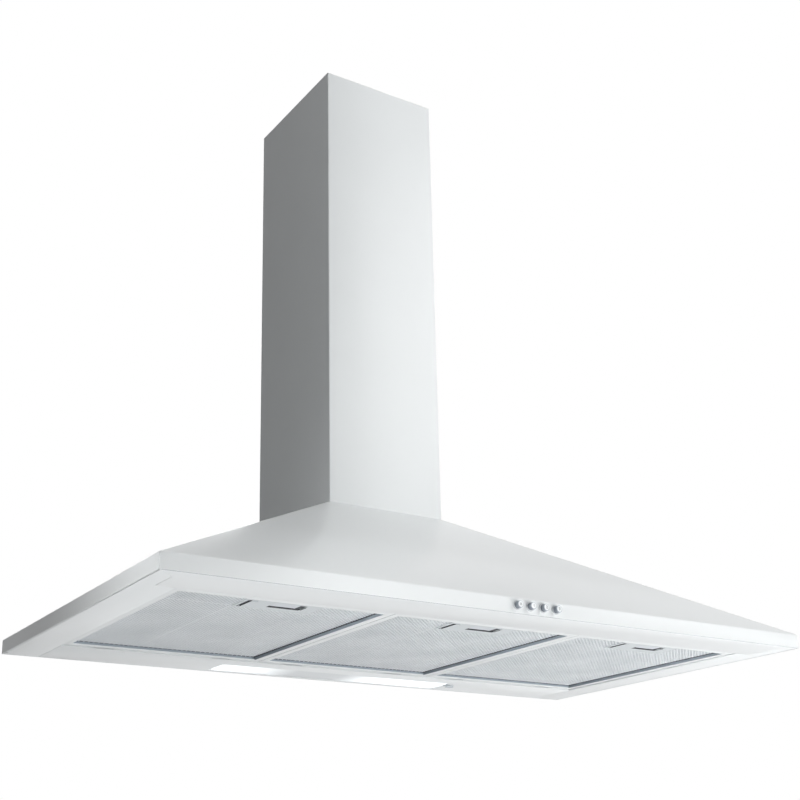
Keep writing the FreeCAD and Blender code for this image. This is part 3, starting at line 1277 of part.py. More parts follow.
# ---------------------------------------------------------------- build
canopy_shell()
back_panel()
for end, sign in (("left", -1), ("right", 1)):
    hanger(f"hanger_plate_{end}", sign)
    side_strip(f"side_strip_{end}", sign)
    blower_cheek(f"blower_cheek_{end}", sign)
    inlet_ring(f"inlet_ring_{end}", sign)
front_strip()
light_panel()
for bay, number in (("left", -1), ("middle", 0), ("right", 1)):
    filter_frame(f"filter_frame_{bay}", number)
    filter_mesh(f"filter_mesh_{bay}", number)
    latch_plate(f"latch_plate_{bay}", number)
    latch_bar(f"latch_bar_{bay}", number)
    latch_spring(f"latch_spring_{bay}", number)
light_tray()
light_cover()
light_catch()
lamps()
for order, task in enumerate(("light", "speed_low", "speed_middle", "speed_high")):
    button(f"button_{task}", order)
button_bezels()
switch_block()
blower_scroll()
fan_wheel()
motor()
motor_bracket()
top_plate()
outlet_collar()
flap("flap_front", -1)
flap("flap_rear", 1)
flap_pins()
chimney_cover("chimney_lower", "chimney_width/2", "chimney_depth", "0", "canopy_top", "chimney_length")
chimney_cover("chimney_upper", "upper_half", "upper_front", "nest_back", "upper_foot", "chimney_end - upper_foot")
wall_bar()
head_bar()
terminal_box()
cable_gland()
capacitor()
doc.recompute()

# ---------------------------------------------------------------- check and write
for thing in doc.Objects:
    if any(word in state for state in thing.State for word in ("Invalid", "Error")):
        raise RuntimeError(f"{thing.Label}: {thing.State}")
for feature in cutting:
    if feature.Shape.Volume >= feature.BaseFeature.Shape.Volume - 1e-6:
        raise RuntimeError(f"{feature.Label} cuts nothing")
for node in finished:
    if node.Shape.isNull() or not node.Shape.isValid():
        raise RuntimeError(f"{node.Label} has no valid shape")
    node.Shape.exportStep(os.path.join("parts", node.Label + ".step"))
print(len(finished), "nodes written")
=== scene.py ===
import bpy
import bmesh
import json
import math
from mathutils import Matrix, Vector


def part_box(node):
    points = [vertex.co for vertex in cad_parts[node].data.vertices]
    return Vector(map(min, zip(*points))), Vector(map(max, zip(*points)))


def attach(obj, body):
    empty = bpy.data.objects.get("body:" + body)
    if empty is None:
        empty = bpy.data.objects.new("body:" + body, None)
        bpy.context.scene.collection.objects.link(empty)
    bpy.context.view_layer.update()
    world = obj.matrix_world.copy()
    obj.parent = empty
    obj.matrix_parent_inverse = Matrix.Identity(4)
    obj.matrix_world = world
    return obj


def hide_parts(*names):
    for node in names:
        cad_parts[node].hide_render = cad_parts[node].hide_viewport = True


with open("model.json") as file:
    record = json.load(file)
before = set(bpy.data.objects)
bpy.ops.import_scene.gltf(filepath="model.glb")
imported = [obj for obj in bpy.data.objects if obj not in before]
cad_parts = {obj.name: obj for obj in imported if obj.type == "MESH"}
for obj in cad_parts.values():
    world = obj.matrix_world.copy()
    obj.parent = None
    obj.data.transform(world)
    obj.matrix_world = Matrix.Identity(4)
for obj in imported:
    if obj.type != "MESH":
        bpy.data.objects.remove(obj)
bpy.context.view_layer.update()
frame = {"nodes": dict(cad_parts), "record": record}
nodes = frame["nodes"]
scene = bpy.context.scene
mm = 0.001
bays = ("left", "middle", "right")
buttonTasks = ("light", "speed_low", "speed_middle", "speed_high")


# small helpers for meshes
def finishPiece(name, bm, material, body, smooth=None, stands=()):
    # turns a bmesh into a finished piece that rides on its body
    bmesh.ops.recalc_face_normals(bm, faces=bm.faces)
    mesh = bpy.data.meshes.new(name)
    bm.to_mesh(mesh)
    bm.free()
    piece = bpy.data.objects.new(name, mesh)
    scene.collection.objects.link(piece)
    mesh.materials.append(material)
    if smooth is not None:
        mesh.shade_smooth()
        mesh.set_sharp_from_angle(angle=math.radians(smooth))
    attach(piece, body)
    if stands:
        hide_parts(*stands)
    return piece


def boxInto(bm, low, high, bevel=0.0, segments=2):
    # a box between two corners in millimetres, its edges rounded by bevel
    made = bmesh.ops.create_cube(bm, size=1)["verts"]
    middle = [(a + b) / 2 * mm for a, b in zip(low, high)]
    spans = [abs(b - a) * mm for a, b in zip(low, high)]
    bmesh.ops.scale(bm, vec=spans, verts=made)
    bmesh.ops.translate(bm, vec=middle, verts=made)
    if bevel:
        edges = list({edge for vert in made for edge in vert.link_edges})
        bmesh.ops.bevel(bm, geom=edges, offset=bevel * mm, affect="EDGES", segments=segments,
                        profile=0.5, material=-1)


def turnTo(direction):
    # a rotation that takes +Z to the given direction
    return Vector((0, 0, 1)).rotation_difference(Vector(direction)).to_matrix().to_4x4()


def spunInto(bm, profile, place, direction, steps=48):
    # a full turn of a profile of (radius, height) points in millimetres about an axis through place
    verts = [bm.verts.new((radius * mm, 0, height * mm)) for radius, height in profile]
    edges = [bm.edges.new(pair) for pair in zip(verts, verts[1:])]
    made = bmesh.ops.spin(bm, geom=verts + edges, cent=(0, 0, 0), axis=(0, 0, 1), angle=2 * math.pi,
                          steps=steps, use_merge=True)
    swept = {v for v in made["geom_last"] if isinstance(v, bmesh.types.BMVert)} | set(verts)
    stack = list(swept)
    while stack:
        for edge in stack.pop().link_edges:
            for vert in edge.verts:
                if vert not in swept:
                    swept.add(vert)
                    stack.append(vert)
    bmesh.ops.remove_doubles(bm, verts=list(swept), dist=1e-6)
    swept = [v for v in swept if v.is_valid]
    bmesh.ops.transform(bm, matrix=Matrix.Translation(Vector(place) * mm) @ turnTo(direction), verts=swept)


# small helpers for materials
def newMaterial(name, settings):
    # a principled material; settings are put on the shader's own sockets
    material = bpy.data.materials.new(name)
    material.use_nodes = True
    shader = material.node_tree.nodes["Principled BSDF"]
    for socket, value in settings.items():
        shader.inputs[socket].default_value = value
    return material, material.node_tree, shader


def objectPattern(tree, kind, scale, stretch=(1, 1, 1), **inputs):
    # a procedural texture on Object coordinates, stretched along the axes
    coords = tree.nodes.new("ShaderNodeTexCoord")
    mapping = tree.nodes.new("ShaderNodeMapping")
    mapping.inputs["Scale"].default_value = stretch
    tree.links.new(coords.outputs["Object"], mapping.inputs["Vector"])
    texture = tree.nodes.new(kind)
    texture.inputs["Scale"].default_value = scale
    for socket, value in inputs.items():
        texture.inputs[socket.replace("_", " ")].default_value = value
    tree.links.new(mapping.outputs["Vector"], texture.inputs["Vector"])
    return texture


def colourBetween(tree, shader, factor, low, high, start=0.0, end=1.0):
    # the base colour runs from low to high with the pattern
    ramp = tree.nodes.new("ShaderNodeValToRGB")
    ramp.color_ramp.elements[0].position = start
    ramp.color_ramp.elements[0].color = (*low, 1)
    ramp.color_ramp.elements[1].position = end
    ramp.color_ramp.elements[1].color = (*high, 1)
    tree.links.new(factor, ramp.inputs["Fac"])
    tree.links.new(ramp.outputs["Color"], shader.inputs["Base Color"])


def bumpFrom(tree, shader, height, strength, distance):
    bump = tree.nodes.new("ShaderNodeBump")
    bump.inputs["Strength"].default_value = strength
    bump.inputs["Distance"].default_value = distance * mm
    tree.links.new(height, bump.inputs["Height"])
    tree.links.new(bump.outputs["Normal"], shader.inputs["Normal"])


def roughBetween(tree, shader, factor, low, high):
    spread = tree.nodes.new("ShaderNodeMapRange")
    spread.inputs["To Min"].default_value = low
    spread.inputs["To Max"].default_value = high
    tree.links.new(factor, spread.inputs["Value"])
    tree.links.new(spread.outputs["Result"], shader.inputs["Roughness"])


# finishes
def enamelFinish(name, colour, rough=0.3, coat=0.1, peel=0.12):
    # baked enamel: nearly even white with a faint orange peel
    material, tree, shader = newMaterial(name, {
        "Roughness": rough, "Specular IOR Level": 0.32, "Coat Weight": coat, "Coat Roughness": 0.12,
    })
    cloud = objectPattern(tree, "ShaderNodeTexNoise", 9, Detail=2)
    colourBetween(tree, shader, cloud.outputs["Fac"], [c * 0.985 for c in colour], colour, 0.3, 0.7)
    peelNoise = objectPattern(tree, "ShaderNodeTexNoise", 420, Detail=1)
    bumpFrom(tree, shader, peelNoise.outputs["Fac"], peel, 0.05)
    return material


def zincFinish(name, colour):
    # hot-dip zinc with its spangle
    material, tree, shader = newMaterial(name, {"Metallic": 1.0, "Roughness": 0.42})
    spangle = objectPattern(tree, "ShaderNodeTexVoronoi", 95)
    colourBetween(tree, shader, spangle.outputs["Color"], [c * 0.86 for c in colour], colour)
    roughBetween(tree, shader, spangle.outputs["Distance"], 0.34, 0.5)
    return material


def steelFinish(name, colour, rough, stretch):
    # turned or brushed steel, with its lines across the stretched axis
    material, tree, shader = newMaterial(name, {"Metallic": 1.0})
    lines = objectPattern(tree, "ShaderNodeTexNoise", 60, stretch, Detail=3)
    colourBetween(tree, shader, lines.outputs["Fac"], [c * 0.88 for c in colour], colour, 0.3, 0.7)
    roughBetween(tree, shader, lines.outputs["Fac"], rough * 0.8, rough * 1.2)
    bumpFrom(tree, shader, lines.outputs["Fac"], 0.05, 0.02)
    return material


def plasticFinish(name, colour, rough, grain=0.15, extra=None):
    # moulded plastic with a fine grain
    material, tree, shader = newMaterial(name, {"Roughness": rough, **(extra or {})})
    cloud = objectPattern(tree, "ShaderNodeTexNoise", 30, Detail=2)
    colourBetween(tree, shader, cloud.outputs["Fac"], [c * 0.94 for c in colour], colour, 0.3, 0.7)
    fine = objectPattern(tree, "ShaderNodeTexNoise", 1500, Detail=1)
    bumpFrom(tree, shader, fine.outputs["Fac"], grain, 0.03)
    return material


finishes = {
    "white_enamel": enamelFinish("whiteEnamel", (0.84, 0.865, 0.87)),
    "galvanised_sheet": zincFinish("zincSheet", (0.66, 0.68, 0.70)),
    "filter_enamel": enamelFinish("filterEnamel", (0.83, 0.855, 0.86), rough=0.34),
    # painted shade: the mesh pack is drawn dark grey, for the shade seen through the skin's holes
    "filter_mesh": plasticFinish("meshPackPaintedShade", (0.20, 0.225, 0.245), 0.6),
    "latch_steel": enamelFinish("latchPlateEnamel", (0.62, 0.66, 0.68), rough=0.4, coat=0.1),
    # painted shade: this white plastic is drawn pale grey, for its shaded look
    "latch_white": plasticFinish("latchWhiteShadedGrey", (0.62, 0.66, 0.70), 0.3, 0.05),
    "spring_steel": steelFinish("springSteel", (0.52, 0.53, 0.55), 0.3, (1, 8, 8)),
    "catch_plastic": plasticFinish("catchPlastic", (0.56, 0.60, 0.63), 0.35, 0.05),
    "holder_ceramic": plasticFinish("holderCeramic", (0.86, 0.84, 0.79), 0.45),
    "button_steel": steelFinish("buttonSteel", (0.34, 0.37, 0.41), 0.34, (6, 1, 6)),
    "bezel_white": plasticFinish("bezelWhite", (0.74, 0.77, 0.79), 0.22, 0.02),
    "grey_plastic": plasticFinish("greyPlastic", (0.20, 0.21, 0.22), 0.5),
    "collar_plastic": plasticFinish("collarPlastic", (0.055, 0.056, 0.06), 0.45),
    "wheel_plastic": plasticFinish("wheelPlastic", (0.075, 0.077, 0.08), 0.42),
    "motor_painted": enamelFinish("motorPaint", (0.10, 0.11, 0.12), rough=0.45, coat=0.1, peel=0.4),
    "mount_rubber": plasticFinish("mountRubber", (0.03, 0.03, 0.03), 0.75, 0.4),
    "capacitor_white": plasticFinish("capacitorWhite", (0.75, 0.75, 0.72), 0.35, 0.05),
}


# the glow along the cover, from its left end to its right end; steps are (place, strength)
coverGlow = {"reach": (-0.17, 0.2), "streaks": (0.75, 1.1),
             "steps": ((0.0, 0.5), (1.0, 0.7), (0.18, 0.42), (0.32, 0.04), (0.52, 0.05), (0.7, 0.6))}


def coverFinish():
    # frosted cover with fine ribs; its own glow, most near its ends, stands for the lamps behind it
    material, tree, shader = newMaterial("coverFrosted", {
        "Roughness": 0.32, "Transmission Weight": 0.35, "IOR": 1.49,
        "Coat Weight": 0.2, "Coat Roughness": 0.08, "Emission Color": (1.0, 1.0, 1.0, 1),
    })
    ribs = objectPattern(tree, "ShaderNodeTexWave", 160, Distortion=0.0)
    ribs.wave_type = "BANDS"
    ribs.bands_direction = "X"
    colourBetween(tree, shader, ribs.outputs["Fac"], (0.66, 0.70, 0.72), (0.78, 0.82, 0.84))
    bumpFrom(tree, shader, ribs.outputs["Fac"], 0.12, 0.15)
    coords = tree.nodes.new("ShaderNodeTexCoord")
    split = tree.nodes.new("ShaderNodeSeparateXYZ")
    tree.links.new(coords.outputs["Object"], split.inputs[0])
    along = tree.nodes.new("ShaderNodeMapRange")
    along.inputs["From Min"].default_value, along.inputs["From Max"].default_value = coverGlow["reach"]
    tree.links.new(split.outputs["X"], along.inputs["Value"])
    ramp = tree.nodes.new("ShaderNodeValToRGB")
    for index, (place, glow) in enumerate(coverGlow["steps"]):
        element = ramp.color_ramp.elements[index] if index < 2 else ramp.color_ramp.elements.new(place)
        element.position = place
        element.color = (glow, glow, glow, 1)
    tree.links.new(along.outputs["Result"], ramp.inputs["Fac"])
    streaks = objectPattern(tree, "ShaderNodeTexNoise", 40, (0.4, 9, 1), Detail=2)
    wave = tree.nodes.new("ShaderNodeMapRange")
    wave.inputs["To Min"].default_value, wave.inputs["To Max"].default_value = coverGlow["streaks"]
    tree.links.new(streaks.outputs["Fac"], wave.inputs["Value"])
    product = tree.nodes.new("ShaderNodeMath")
    product.operation = "MULTIPLY"
    tree.links.new(ramp.outputs["Color"], product.inputs[0])
    tree.links.new(wave.outputs["Result"], product.inputs[1])
    tree.links.new(product.outputs[0], shader.inputs["Emission Strength"])
    return material


def lampGlassFinish():
    # frosted lamp glass, switched on
    material, tree, shader = newMaterial("lampGlass", {
        "Roughness": 0.5, "Emission Color": (1.0, 0.985, 0.96, 1), "Emission Strength": 2.2,
    })
    frost = objectPattern(tree, "ShaderNodeTexNoise", 600, Detail=2)
    colourBetween(tree, shader, frost.outputs["Fac"], (0.9, 0.9, 0.88), (0.97, 0.97, 0.95))
    return material


finishes["cover_clear"] = coverFinish()
finishes["lamp_glass"] = lampGlassFinish()
print("finishes made:", len(finishes))

slotOf = {entry["node"]: entry["material_slot"] for entry in frame["record"]["subparts"]}
for nodeName, cadNode in nodes.items():
    cadNode.data.materials.clear()
    cadNode.data.materials.append(finishes[slotOf[nodeName]])
print("nodes dressed:", len(nodes))


# folded sheet with rounded bends: copies of the plain nodes
def sheetCopy(node, bendRadius, chooseEdge, body="hood", segments=4):
    # the node's own sheet with the chosen outer edges rounded; it replaces the node
    bm = bmesh.new()
    bm.from_mesh(nodes[node].data)
    bmesh.ops.remove_doubles(bm, verts=bm.verts, dist=1e-5)
    bmesh.ops.dissolve_limit(bm, angle_limit=math.radians(1), verts=bm.verts, edges=bm.edges)
    bm.normal_update()
    chosen = [e for e in bm.edges if len(e.link_faces) == 2 and e.is_convex
              and e.calc_face_angle(0) > math.radians(12) and chooseEdge(e)]
    if chosen:
        bmesh.ops.bevel(bm, geom=chosen, offset=bendRadius * mm, offset_type="OFFSET", affect="EDGES",
                        segments=segments, profile=0.5, material=-1)
    bmesh.ops.triangulate(bm, faces=[f for f in bm.faces if len(f.verts) > 4])
    return finishPiece(node.replace("_", ".") + ".bent", bm, finishes[slotOf[node]], body,
                       smooth=25, stands=(node,))


def onOutside(edge, low, high, margin=0.2):
    # both ends of the edge lie on an outer side of the box or on a slope, not on the sheet's inside
    return all(vert.co.x < low.x + margin * mm or vert.co.x > high.x - margin * mm
               or vert.co.y < low.y + margin * mm for vert in edge.verts)


canopyBend = {"radius": 1.3, "rimHeight": 18.0, "slopeTop": 201.5}


def buildCanopy():
    low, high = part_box("canopy_shell")
    rimTop = canopyBend["rimHeight"] * mm

    def chooseEdge(edge):
        a, b = edge.verts[0].co, edge.verts[1].co
        if max(a.z, b.z) > canopyBend["slopeTop"] * mm or min(a.y, b.y) > -1 * mm:
            return False
        if abs(a.z - rimTop) < 0.1 * mm and abs(b.z - rimTop) < 0.1 * mm:
            return onOutside(edge, low, high)
        if min(a.z, b.z) < 0.1 * mm:
            return onOutside(edge, low, high) and max(a.z, b.z) > rimTop - 0.1 * mm
        # hips run from the rim's outer corner to the chimney's foot
        start = min(edge.verts, key=lambda vert: vert.co.z).co
        return abs(start.z - rimTop) < 0.1 * mm and onOutsidePoint(start, low, high)

    return sheetCopy("canopy_shell", canopyBend["radius"], chooseEdge)


def onOutsidePoint(point, low, high, margin=0.2):
    sideways = point.x < low.x + margin * mm or point.x > high.x - margin * mm
    return sideways and point.y < low.y + margin * mm


buildCanopy()

chimneyBend = {"radius": 1.6}


def buildChimney(node, body):
    low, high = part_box(node)

    def chooseEdge(edge):
        a, b = edge.verts[0].co, edge.verts[1].co
        upright = abs(a.x - b.x) < 1e-5 and abs(a.y - b.y) < 1e-5
        return upright and onOutsidePoint(a, low, high)

    return sheetCopy(node, chimneyBend["radius"], chooseEdge, body)


buildChimney("chimney_lower", "hood")
buildChimney("chimney_upper", "upper_chimney")
print("canopy and chimney bent")


# strips of the underside: soft edges
stripEdge = {"radius": 0.3, "segments": 2}


def buildStrip(node):
    def chooseEdge(edge):
        return max(vert.co.z for vert in edge.verts) < 0.1 * mm

    return sheetCopy(node, stripEdge["radius"], chooseEdge, segments=stripEdge["segments"])


for strip in ("front_strip", "side_strip_left", "side_strip_right", "light_panel"):
    buildStrip(strip)
grooveLine = {"front": -499.6, "back": -498.7, "low": -0.05, "high": 0.2, "halfWidth": 447.0}


def buildGroove():
    # a thin grey line that stands for the shade in the groove between the fascia and the front strip
    bm = bmesh.new()
    half = grooveLine["halfWidth"]
    low = (-half, grooveLine["front"], grooveLine["low"])
    high = (half, grooveLine["back"], grooveLine["high"])
    boxInto(bm, low, high)
    grooveGrey = plasticFinish("grooveGrey", (0.20, 0.22, 0.24), 0.6)
    return finishPiece("fascia.groove", bm, grooveGrey, "hood")


buildGroove()
print("underside strips softened")


# filter cassettes
# the dark edge's width, drop, dashes and left share size the painted shade along the mesh pack's edge
cassette = {"edgeRadius": 0.45, "sideMember": 9.0, "frontMember": 13.0, "lugReach": 6.0,
            "cell": 4.0, "rib": 0.72, "skinDepth": 0.42, "skinGap": 0.03, "plateGap": 0.05,
            "edgeShadeWidth": 2.8, "edgeShadeDrop": 0.25, "dash": 4.6, "dashGap": 1.9,
            "dotRadius": 0.8, "dotPitch": 3.4, "dotSetBack": 1.1,
            "leftEdgeShadeShare": 0.2, "leastCellShare": 0.45}


def boxInMm(node):
    low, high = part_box(node)
    return low / mm, high / mm


def meshField(bay):
    # the open field between a cassette's members and the level of its sheet, in millimetres
    low, high = boxInMm(f"filter_frame_{bay}")
    side = cassette["sideMember"]
    level = boxInMm(f"filter_mesh_{bay}")[0].z - cassette["skinDepth"] - cassette["skinGap"]
    return {"left": low.x + side, "right": high.x - side, "front": low.y + cassette["frontMember"],
            "back": high.y - cassette["lugReach"] - side, "level": level}


def buildCassetteFrame(bay):
    node = f"filter_frame_{bay}"
    low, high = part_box(node)

    def chooseEdge(edge):
        return max(vert.co.z for vert in edge.verts) < low.z + 0.1 * mm

    return sheetCopy(node, cassette["edgeRadius"], chooseEdge, f"filter_{bay}", segments=2)


def meshFinish():
    material, tree, shader = newMaterial("meshEnamel", {"Roughness": 0.42, "Specular IOR Level": 0.5})
    cloud = objectPattern(tree, "ShaderNodeTexNoise", 14, Detail=3)
    colourBetween(tree, shader, cloud.outputs["Fac"], (0.74, 0.775, 0.795), (0.84, 0.87, 0.89), 0.3, 0.7)
    fine = objectPattern(tree, "ShaderNodeTexNoise", 900, Detail=1)
    bumpFrom(tree, shader, fine.outputs["Fac"], 0.2, 0.05)
    return material


def cutAcross(bm, point, normal, clear):
    # one straight cut through the whole mesh; clear takes away what lies on the normal's side
    geometry = bm.verts[:] + bm.edges[:] + bm.faces[:]
    bmesh.ops.bisect_plane(bm, geom=geometry, dist=1e-7, plane_co=Vector(point) * mm, plane_no=normal,
                           clear_outer=clear)


meshEnamel = meshFinish()


def buildMeshSkin(bay):
    # a pierced sheet on the mesh pack: a slanted grid cut to the field, its cells inset and opened
    field = meshField(bay)
    plateLow, plateHigh = boxInMm(f"latch_plate_{bay}")
    width, depth = field["right"] - field["left"], field["back"] - field["front"]
    middle = Vector((field["left"] + width / 2, field["front"] + depth / 2, field["level"]))
    count = math.ceil((width + depth) / math.sqrt(2) / cassette["cell"])
    span = count * cassette["cell"] * mm
    bm = bmesh.new()
    bmesh.ops.create_grid(bm, x_segments=count, y_segments=count, size=0.5)
    bmesh.ops.scale(bm, vec=(span, span, 1), verts=bm.verts)
    bmesh.ops.rotate(bm, cent=(0, 0, 0), matrix=Matrix.Rotation(math.radians(45), 3, "Z"), verts=bm.verts)
    bmesh.ops.translate(bm, vec=middle * mm, verts=bm.verts)
    cutAcross(bm, (field["left"], 0, 0), (-1, 0, 0), True)
    cutAcross(bm, (field["right"], 0, 0), (1, 0, 0), True)
    cutAcross(bm, (0, field["front"], 0), (0, -1, 0), True)
    cutAcross(bm, (0, field["back"], 0), (0, 1, 0), True)
    gap = cassette["plateGap"]
    left, right, rear = plateLow.x - gap, plateHigh.x + gap, plateHigh.y + gap
    cutAcross(bm, (left, 0, 0), (-1, 0, 0), False)
    cutAcross(bm, (right, 0, 0), (1, 0, 0), False)
    cutAcross(bm, (0, rear, 0), (0, 1, 0), False)
    centres = {face: face.calc_center_median() / mm for face in bm.faces}
    overPlate = [face for face, at in centres.items() if left < at.x < right and at.y < rear]
    bmesh.ops.delete(bm, geom=overPlate, context="FACES")
    whole = (cassette["cell"] * mm) ** 2
    cells = [face for face in bm.faces if face.calc_area() > cassette["leastCellShare"] * whole]
    bmesh.ops.inset_individual(bm, faces=cells, thickness=cassette["rib"] * mm, use_even_offset=True)
    walls = bmesh.ops.extrude_discrete_faces(bm, faces=cells)["faces"]
    bmesh.ops.translate(bm, vec=(0, 0, cassette["skinDepth"] * mm),
                        verts=list({vert for face in walls for vert in face.verts}))
    bmesh.ops.delete(bm, geom=walls, context="FACES_ONLY")
    bmesh.ops.reverse_faces(bm, faces=bm.faces)
    mesh = bpy.data.meshes.new(f"filter.skin.{bay}")
    bm.to_mesh(mesh)
    bm.free()
    piece = bpy.data.objects.new(f"filter.skin.{bay}", mesh)
    scene.collection.objects.link(piece)
    mesh.materials.append(meshEnamel)
    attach(piece, f"filter_{bay}")
    return piece


# painted shade: one near-black finish for the dark edge strips, sheets, outlines and skins that stand for
# shade
paintedShadeFinish = plasticFinish("paintedShadeBlack", (0.05, 0.055, 0.06), 0.7)


def buildEdgeShade(bay):
    # painted shade at the mesh pack's edge: dark dashes along the rear and plain dark lines along the sides,
    # where the mesh meets the members
    field = meshField(bay)
    shadeWidth, pitch = cassette["edgeShadeWidth"], cassette["dash"] + cassette["dashGap"]
    low, top = field["level"] - cassette["edgeShadeDrop"], field["level"] + cassette["skinDepth"]
    rear = field["back"] - shadeWidth
    bm = bmesh.new()
    for index in range(int((field["right"] - field["left"] - shadeWidth) / pitch)):
        start = field["left"] + shadeWidth + index * pitch
        boxInto(bm, (start, rear, low), (start + cassette["dash"], field["back"], top))
    boxInto(bm, (field["right"] - shadeWidth, field["front"], low), (field["right"], field["back"], top))
    leftShadeWidth = shadeWidth * cassette["leftEdgeShadeShare"]
    boxInto(bm, (field["left"], field["front"], low), (field["left"] + leftShadeWidth, field["back"], top))
    return finishPiece(f"filter.edgeShade.{bay}", bm, paintedShadeFinish, f"filter_{bay}")


def buildPlateDots(bay):
    # a row of pressed spots in the mesh along the latch plate's rear edge
    low, high = boxInMm(f"latch_plate_{bay}")
    level = meshField(bay)["level"]
    bm = bmesh.new()
    for index in range(1, int((high.x - low.x) / cassette["dotPitch"])):
        spot = bmesh.ops.create_icosphere(bm, subdivisions=1, radius=cassette["dotRadius"] * mm)["verts"]
        place = Vector((low.x + index * cassette["dotPitch"], high.y + cassette["dotSetBack"], level))
        bmesh.ops.translate(bm, vec=place * mm, verts=spot)
    return finishPiece(f"filter.dots.{bay}", bm, finishes["filter_enamel"], f"filter_{bay}",
                       smooth=60)


# sizes of the latch plate's slot and opening, and of the painted shade in and round them
well = {"slotLeft": 5.25, "slotRight": 8.75, "slotBack": 48.9, "slotOutline": 1.0,
        "footRight": 15.75, "footDepth": 3.5, "front": 17.4, "back": 36.4, "end": 8.0,
        "sheet": 0.1, "rim": 0.2, "lip": 0.12, "lipRear": 2.4, "lipEnd": 1.2, "lipShort": 1.0,
        "lipStart": 6.0, "barGap": 1.0, "shadeSheetGap": 0.3,
        "slideSkin": 0.1, "slideGap": 0.3, "skinFront": 3.0, "skinSide": 0.1, "skinEnd": 2.7}


def buildWellShade(bay):
    # dark sheets behind the open slot and opening, and thin dark outlines round them, all painted shade
    plateLow, plateHigh = boxInMm(f"latch_plate_{bay}")
    barLow, barHigh = boxInMm(f"latch_bar_{bay}")
    low, top = plateHigh.z, plateHigh.z + well["sheet"]
    front, back = plateLow.y + well["front"], plateLow.y + well["back"]
    slotRight = plateLow.x + well["slotRight"]
    end = barHigh.x + well["end"]
    openingLeft = barLow.x - well["barGap"]
    lipLow = plateLow.z - well["lip"]
    bm = bmesh.new()
    boxInto(bm, (barHigh.x + well["shadeSheetGap"], front, low), (end, back, top))
    slotLeft, slotBack = plateLow.x + well["slotLeft"], plateLow.y + well["slotBack"]
    boxInto(bm, (slotLeft, front, low), (slotRight, slotBack, top))
    boxInto(bm, (slotRight - well["rim"], front, lipLow), (slotRight, slotBack, top))
    boxInto(bm, (slotLeft - well["slotOutline"], front, lipLow), (slotLeft, slotBack, plateLow.z))
    boxInto(bm, (slotRight, front, low), (plateLow.x + well["footRight"], front + well["footDepth"], top))
    boxInto(bm, (openingLeft, back - well["rim"], lipLow), (end, back, top))
    boxInto(bm, (openingLeft, back, lipLow), (end - well["lipShort"], back + well["lipRear"], plateLow.z))
    boxInto(bm, (end, front + well["lipStart"], lipLow), (end + well["lipEnd"], back, plateLow.z))
    return finishPiece(f"latch.wellShade.{bay}", bm, paintedShadeFinish, f"filter_{bay}")


# sizes of the painted shade skins on the member walls and in the gap between cassettes
shadeSkinSizes = {"sheet": 0.3, "drop": 3.6, "rearLift": 0.8, "gapShadeSheet": 0.35, "gapShadeInset": 1.0, "gapShadeLift": 0.2}
# painted shade: grey for the shaded inner walls of the members
wallShade = plasticFinish("paintedWallShadeGrey", (0.36, 0.41, 0.46), 0.6)
# painted shade: grey for the shade in the gap to the next cassette
paintedGapShadeGrey = plasticFinish("paintedGapShadeGrey", (0.42, 0.45, 0.47), 0.6)


def buildWallShade(bay):
    # thin dark skins on the inner walls of the right and rear members, which stand for their deep shade
    field = meshField(bay)
    top, low = field["level"], field["level"] - shadeSkinSizes["drop"]
    bm = bmesh.new()
    corner = (field["right"], field["back"], top)
    boxInto(bm, (field["right"] - shadeSkinSizes["sheet"], field["front"], low), corner)
    boxInto(bm, (field["left"], field["back"] - shadeSkinSizes["sheet"], low + shadeSkinSizes["rearLift"]), corner)
    return finishPiece(f"filter.shadeSkin.{bay}", bm, wallShade, f"filter_{bay}")


def buildGapShade(bay):
    # a thin grey skin in the gap to the next cassette, which stands for the gap's shade
    low, high = boxInMm(f"filter_frame_{bay}")
    inset = shadeSkinSizes["gapShadeInset"]
    rear = high.y - cassette["lugReach"] - inset
    bm = bmesh.new()
    boxInto(bm, (low.x - shadeSkinSizes["gapShadeSheet"], low.y + inset, low.z + shadeSkinSizes["gapShadeLift"]),
            (low.x, rear, high.z - inset))
    return finishPiece(f"filter.gapShade.{bay}", bm, paintedGapShadeGrey, f"filter_{bay}")


def buildSlideSkin(bay):
    # a dark skin on the slide where it shows round the pull bar, which stands for its shade
    low, high = boxInMm(f"latch_bar_{bay}")
    plateLow, plateHigh = boxInMm(f"latch_plate_{bay}")
    slideLow = plateHigh.z + well["slideGap"]
    front = plateLow.y + well["front"] - well["skinFront"]
    bm = bmesh.new()
    boxInto(bm, (low.x + well["skinSide"], front, slideLow - well["slideSkin"]),
            (high.x - well["skinSide"], high.y - well["skinEnd"], slideLow))
    return finishPiece(f"latch.skin.{bay}", bm, paintedShadeFinish, f"latch_{bay}")


for bay in bays:
    buildCassetteFrame(bay)
    buildMeshSkin(bay)
    buildEdgeShade(bay)
    buildPlateDots(bay)
    buildWellShade(bay)
    buildSlideSkin(bay)
    buildWallShade(bay)
    buildGapShade(bay)
print("cassettes built")


# push buttons
cap = {"faceRadius": 3.55, "faceDepth": 0.35, "faceEdge": 0.2, "sink": 0.12,
       "markHeight": 3.6, "markDepth": 0.08, "letterSize": 1.35}


def capPlace(task):
    # the middle of a cap's end, in millimetres
    low, high = boxInMm(f"button_{task}")
    return (low.x + high.x) / 2, low.y + cap["sink"], (low.z + high.z) / 2


faceWhite = plasticFinish("buttonFaceWhite", (0.84, 0.87, 0.88), 0.25, 0.03)
markGrey = plasticFinish("buttonMarkGrey", (0.10, 0.11, 0.13), 0.5, 0.05)


def buildButtonFace(task):
    # white disc let into the cap's end
    bm = bmesh.new()
    radius, depth, edge = cap["faceRadius"], cap["faceDepth"], cap["faceEdge"]
    spunInto(bm, [(0, 0), (0, depth), (radius - edge, depth), (radius, depth - edge), (radius, 0), (0, 0)],
             capPlace(task), (0, -1, 0), 40)
    return finishPiece(f"button.face.{task}", bm, faceWhite, f"press_{task}", smooth=40)


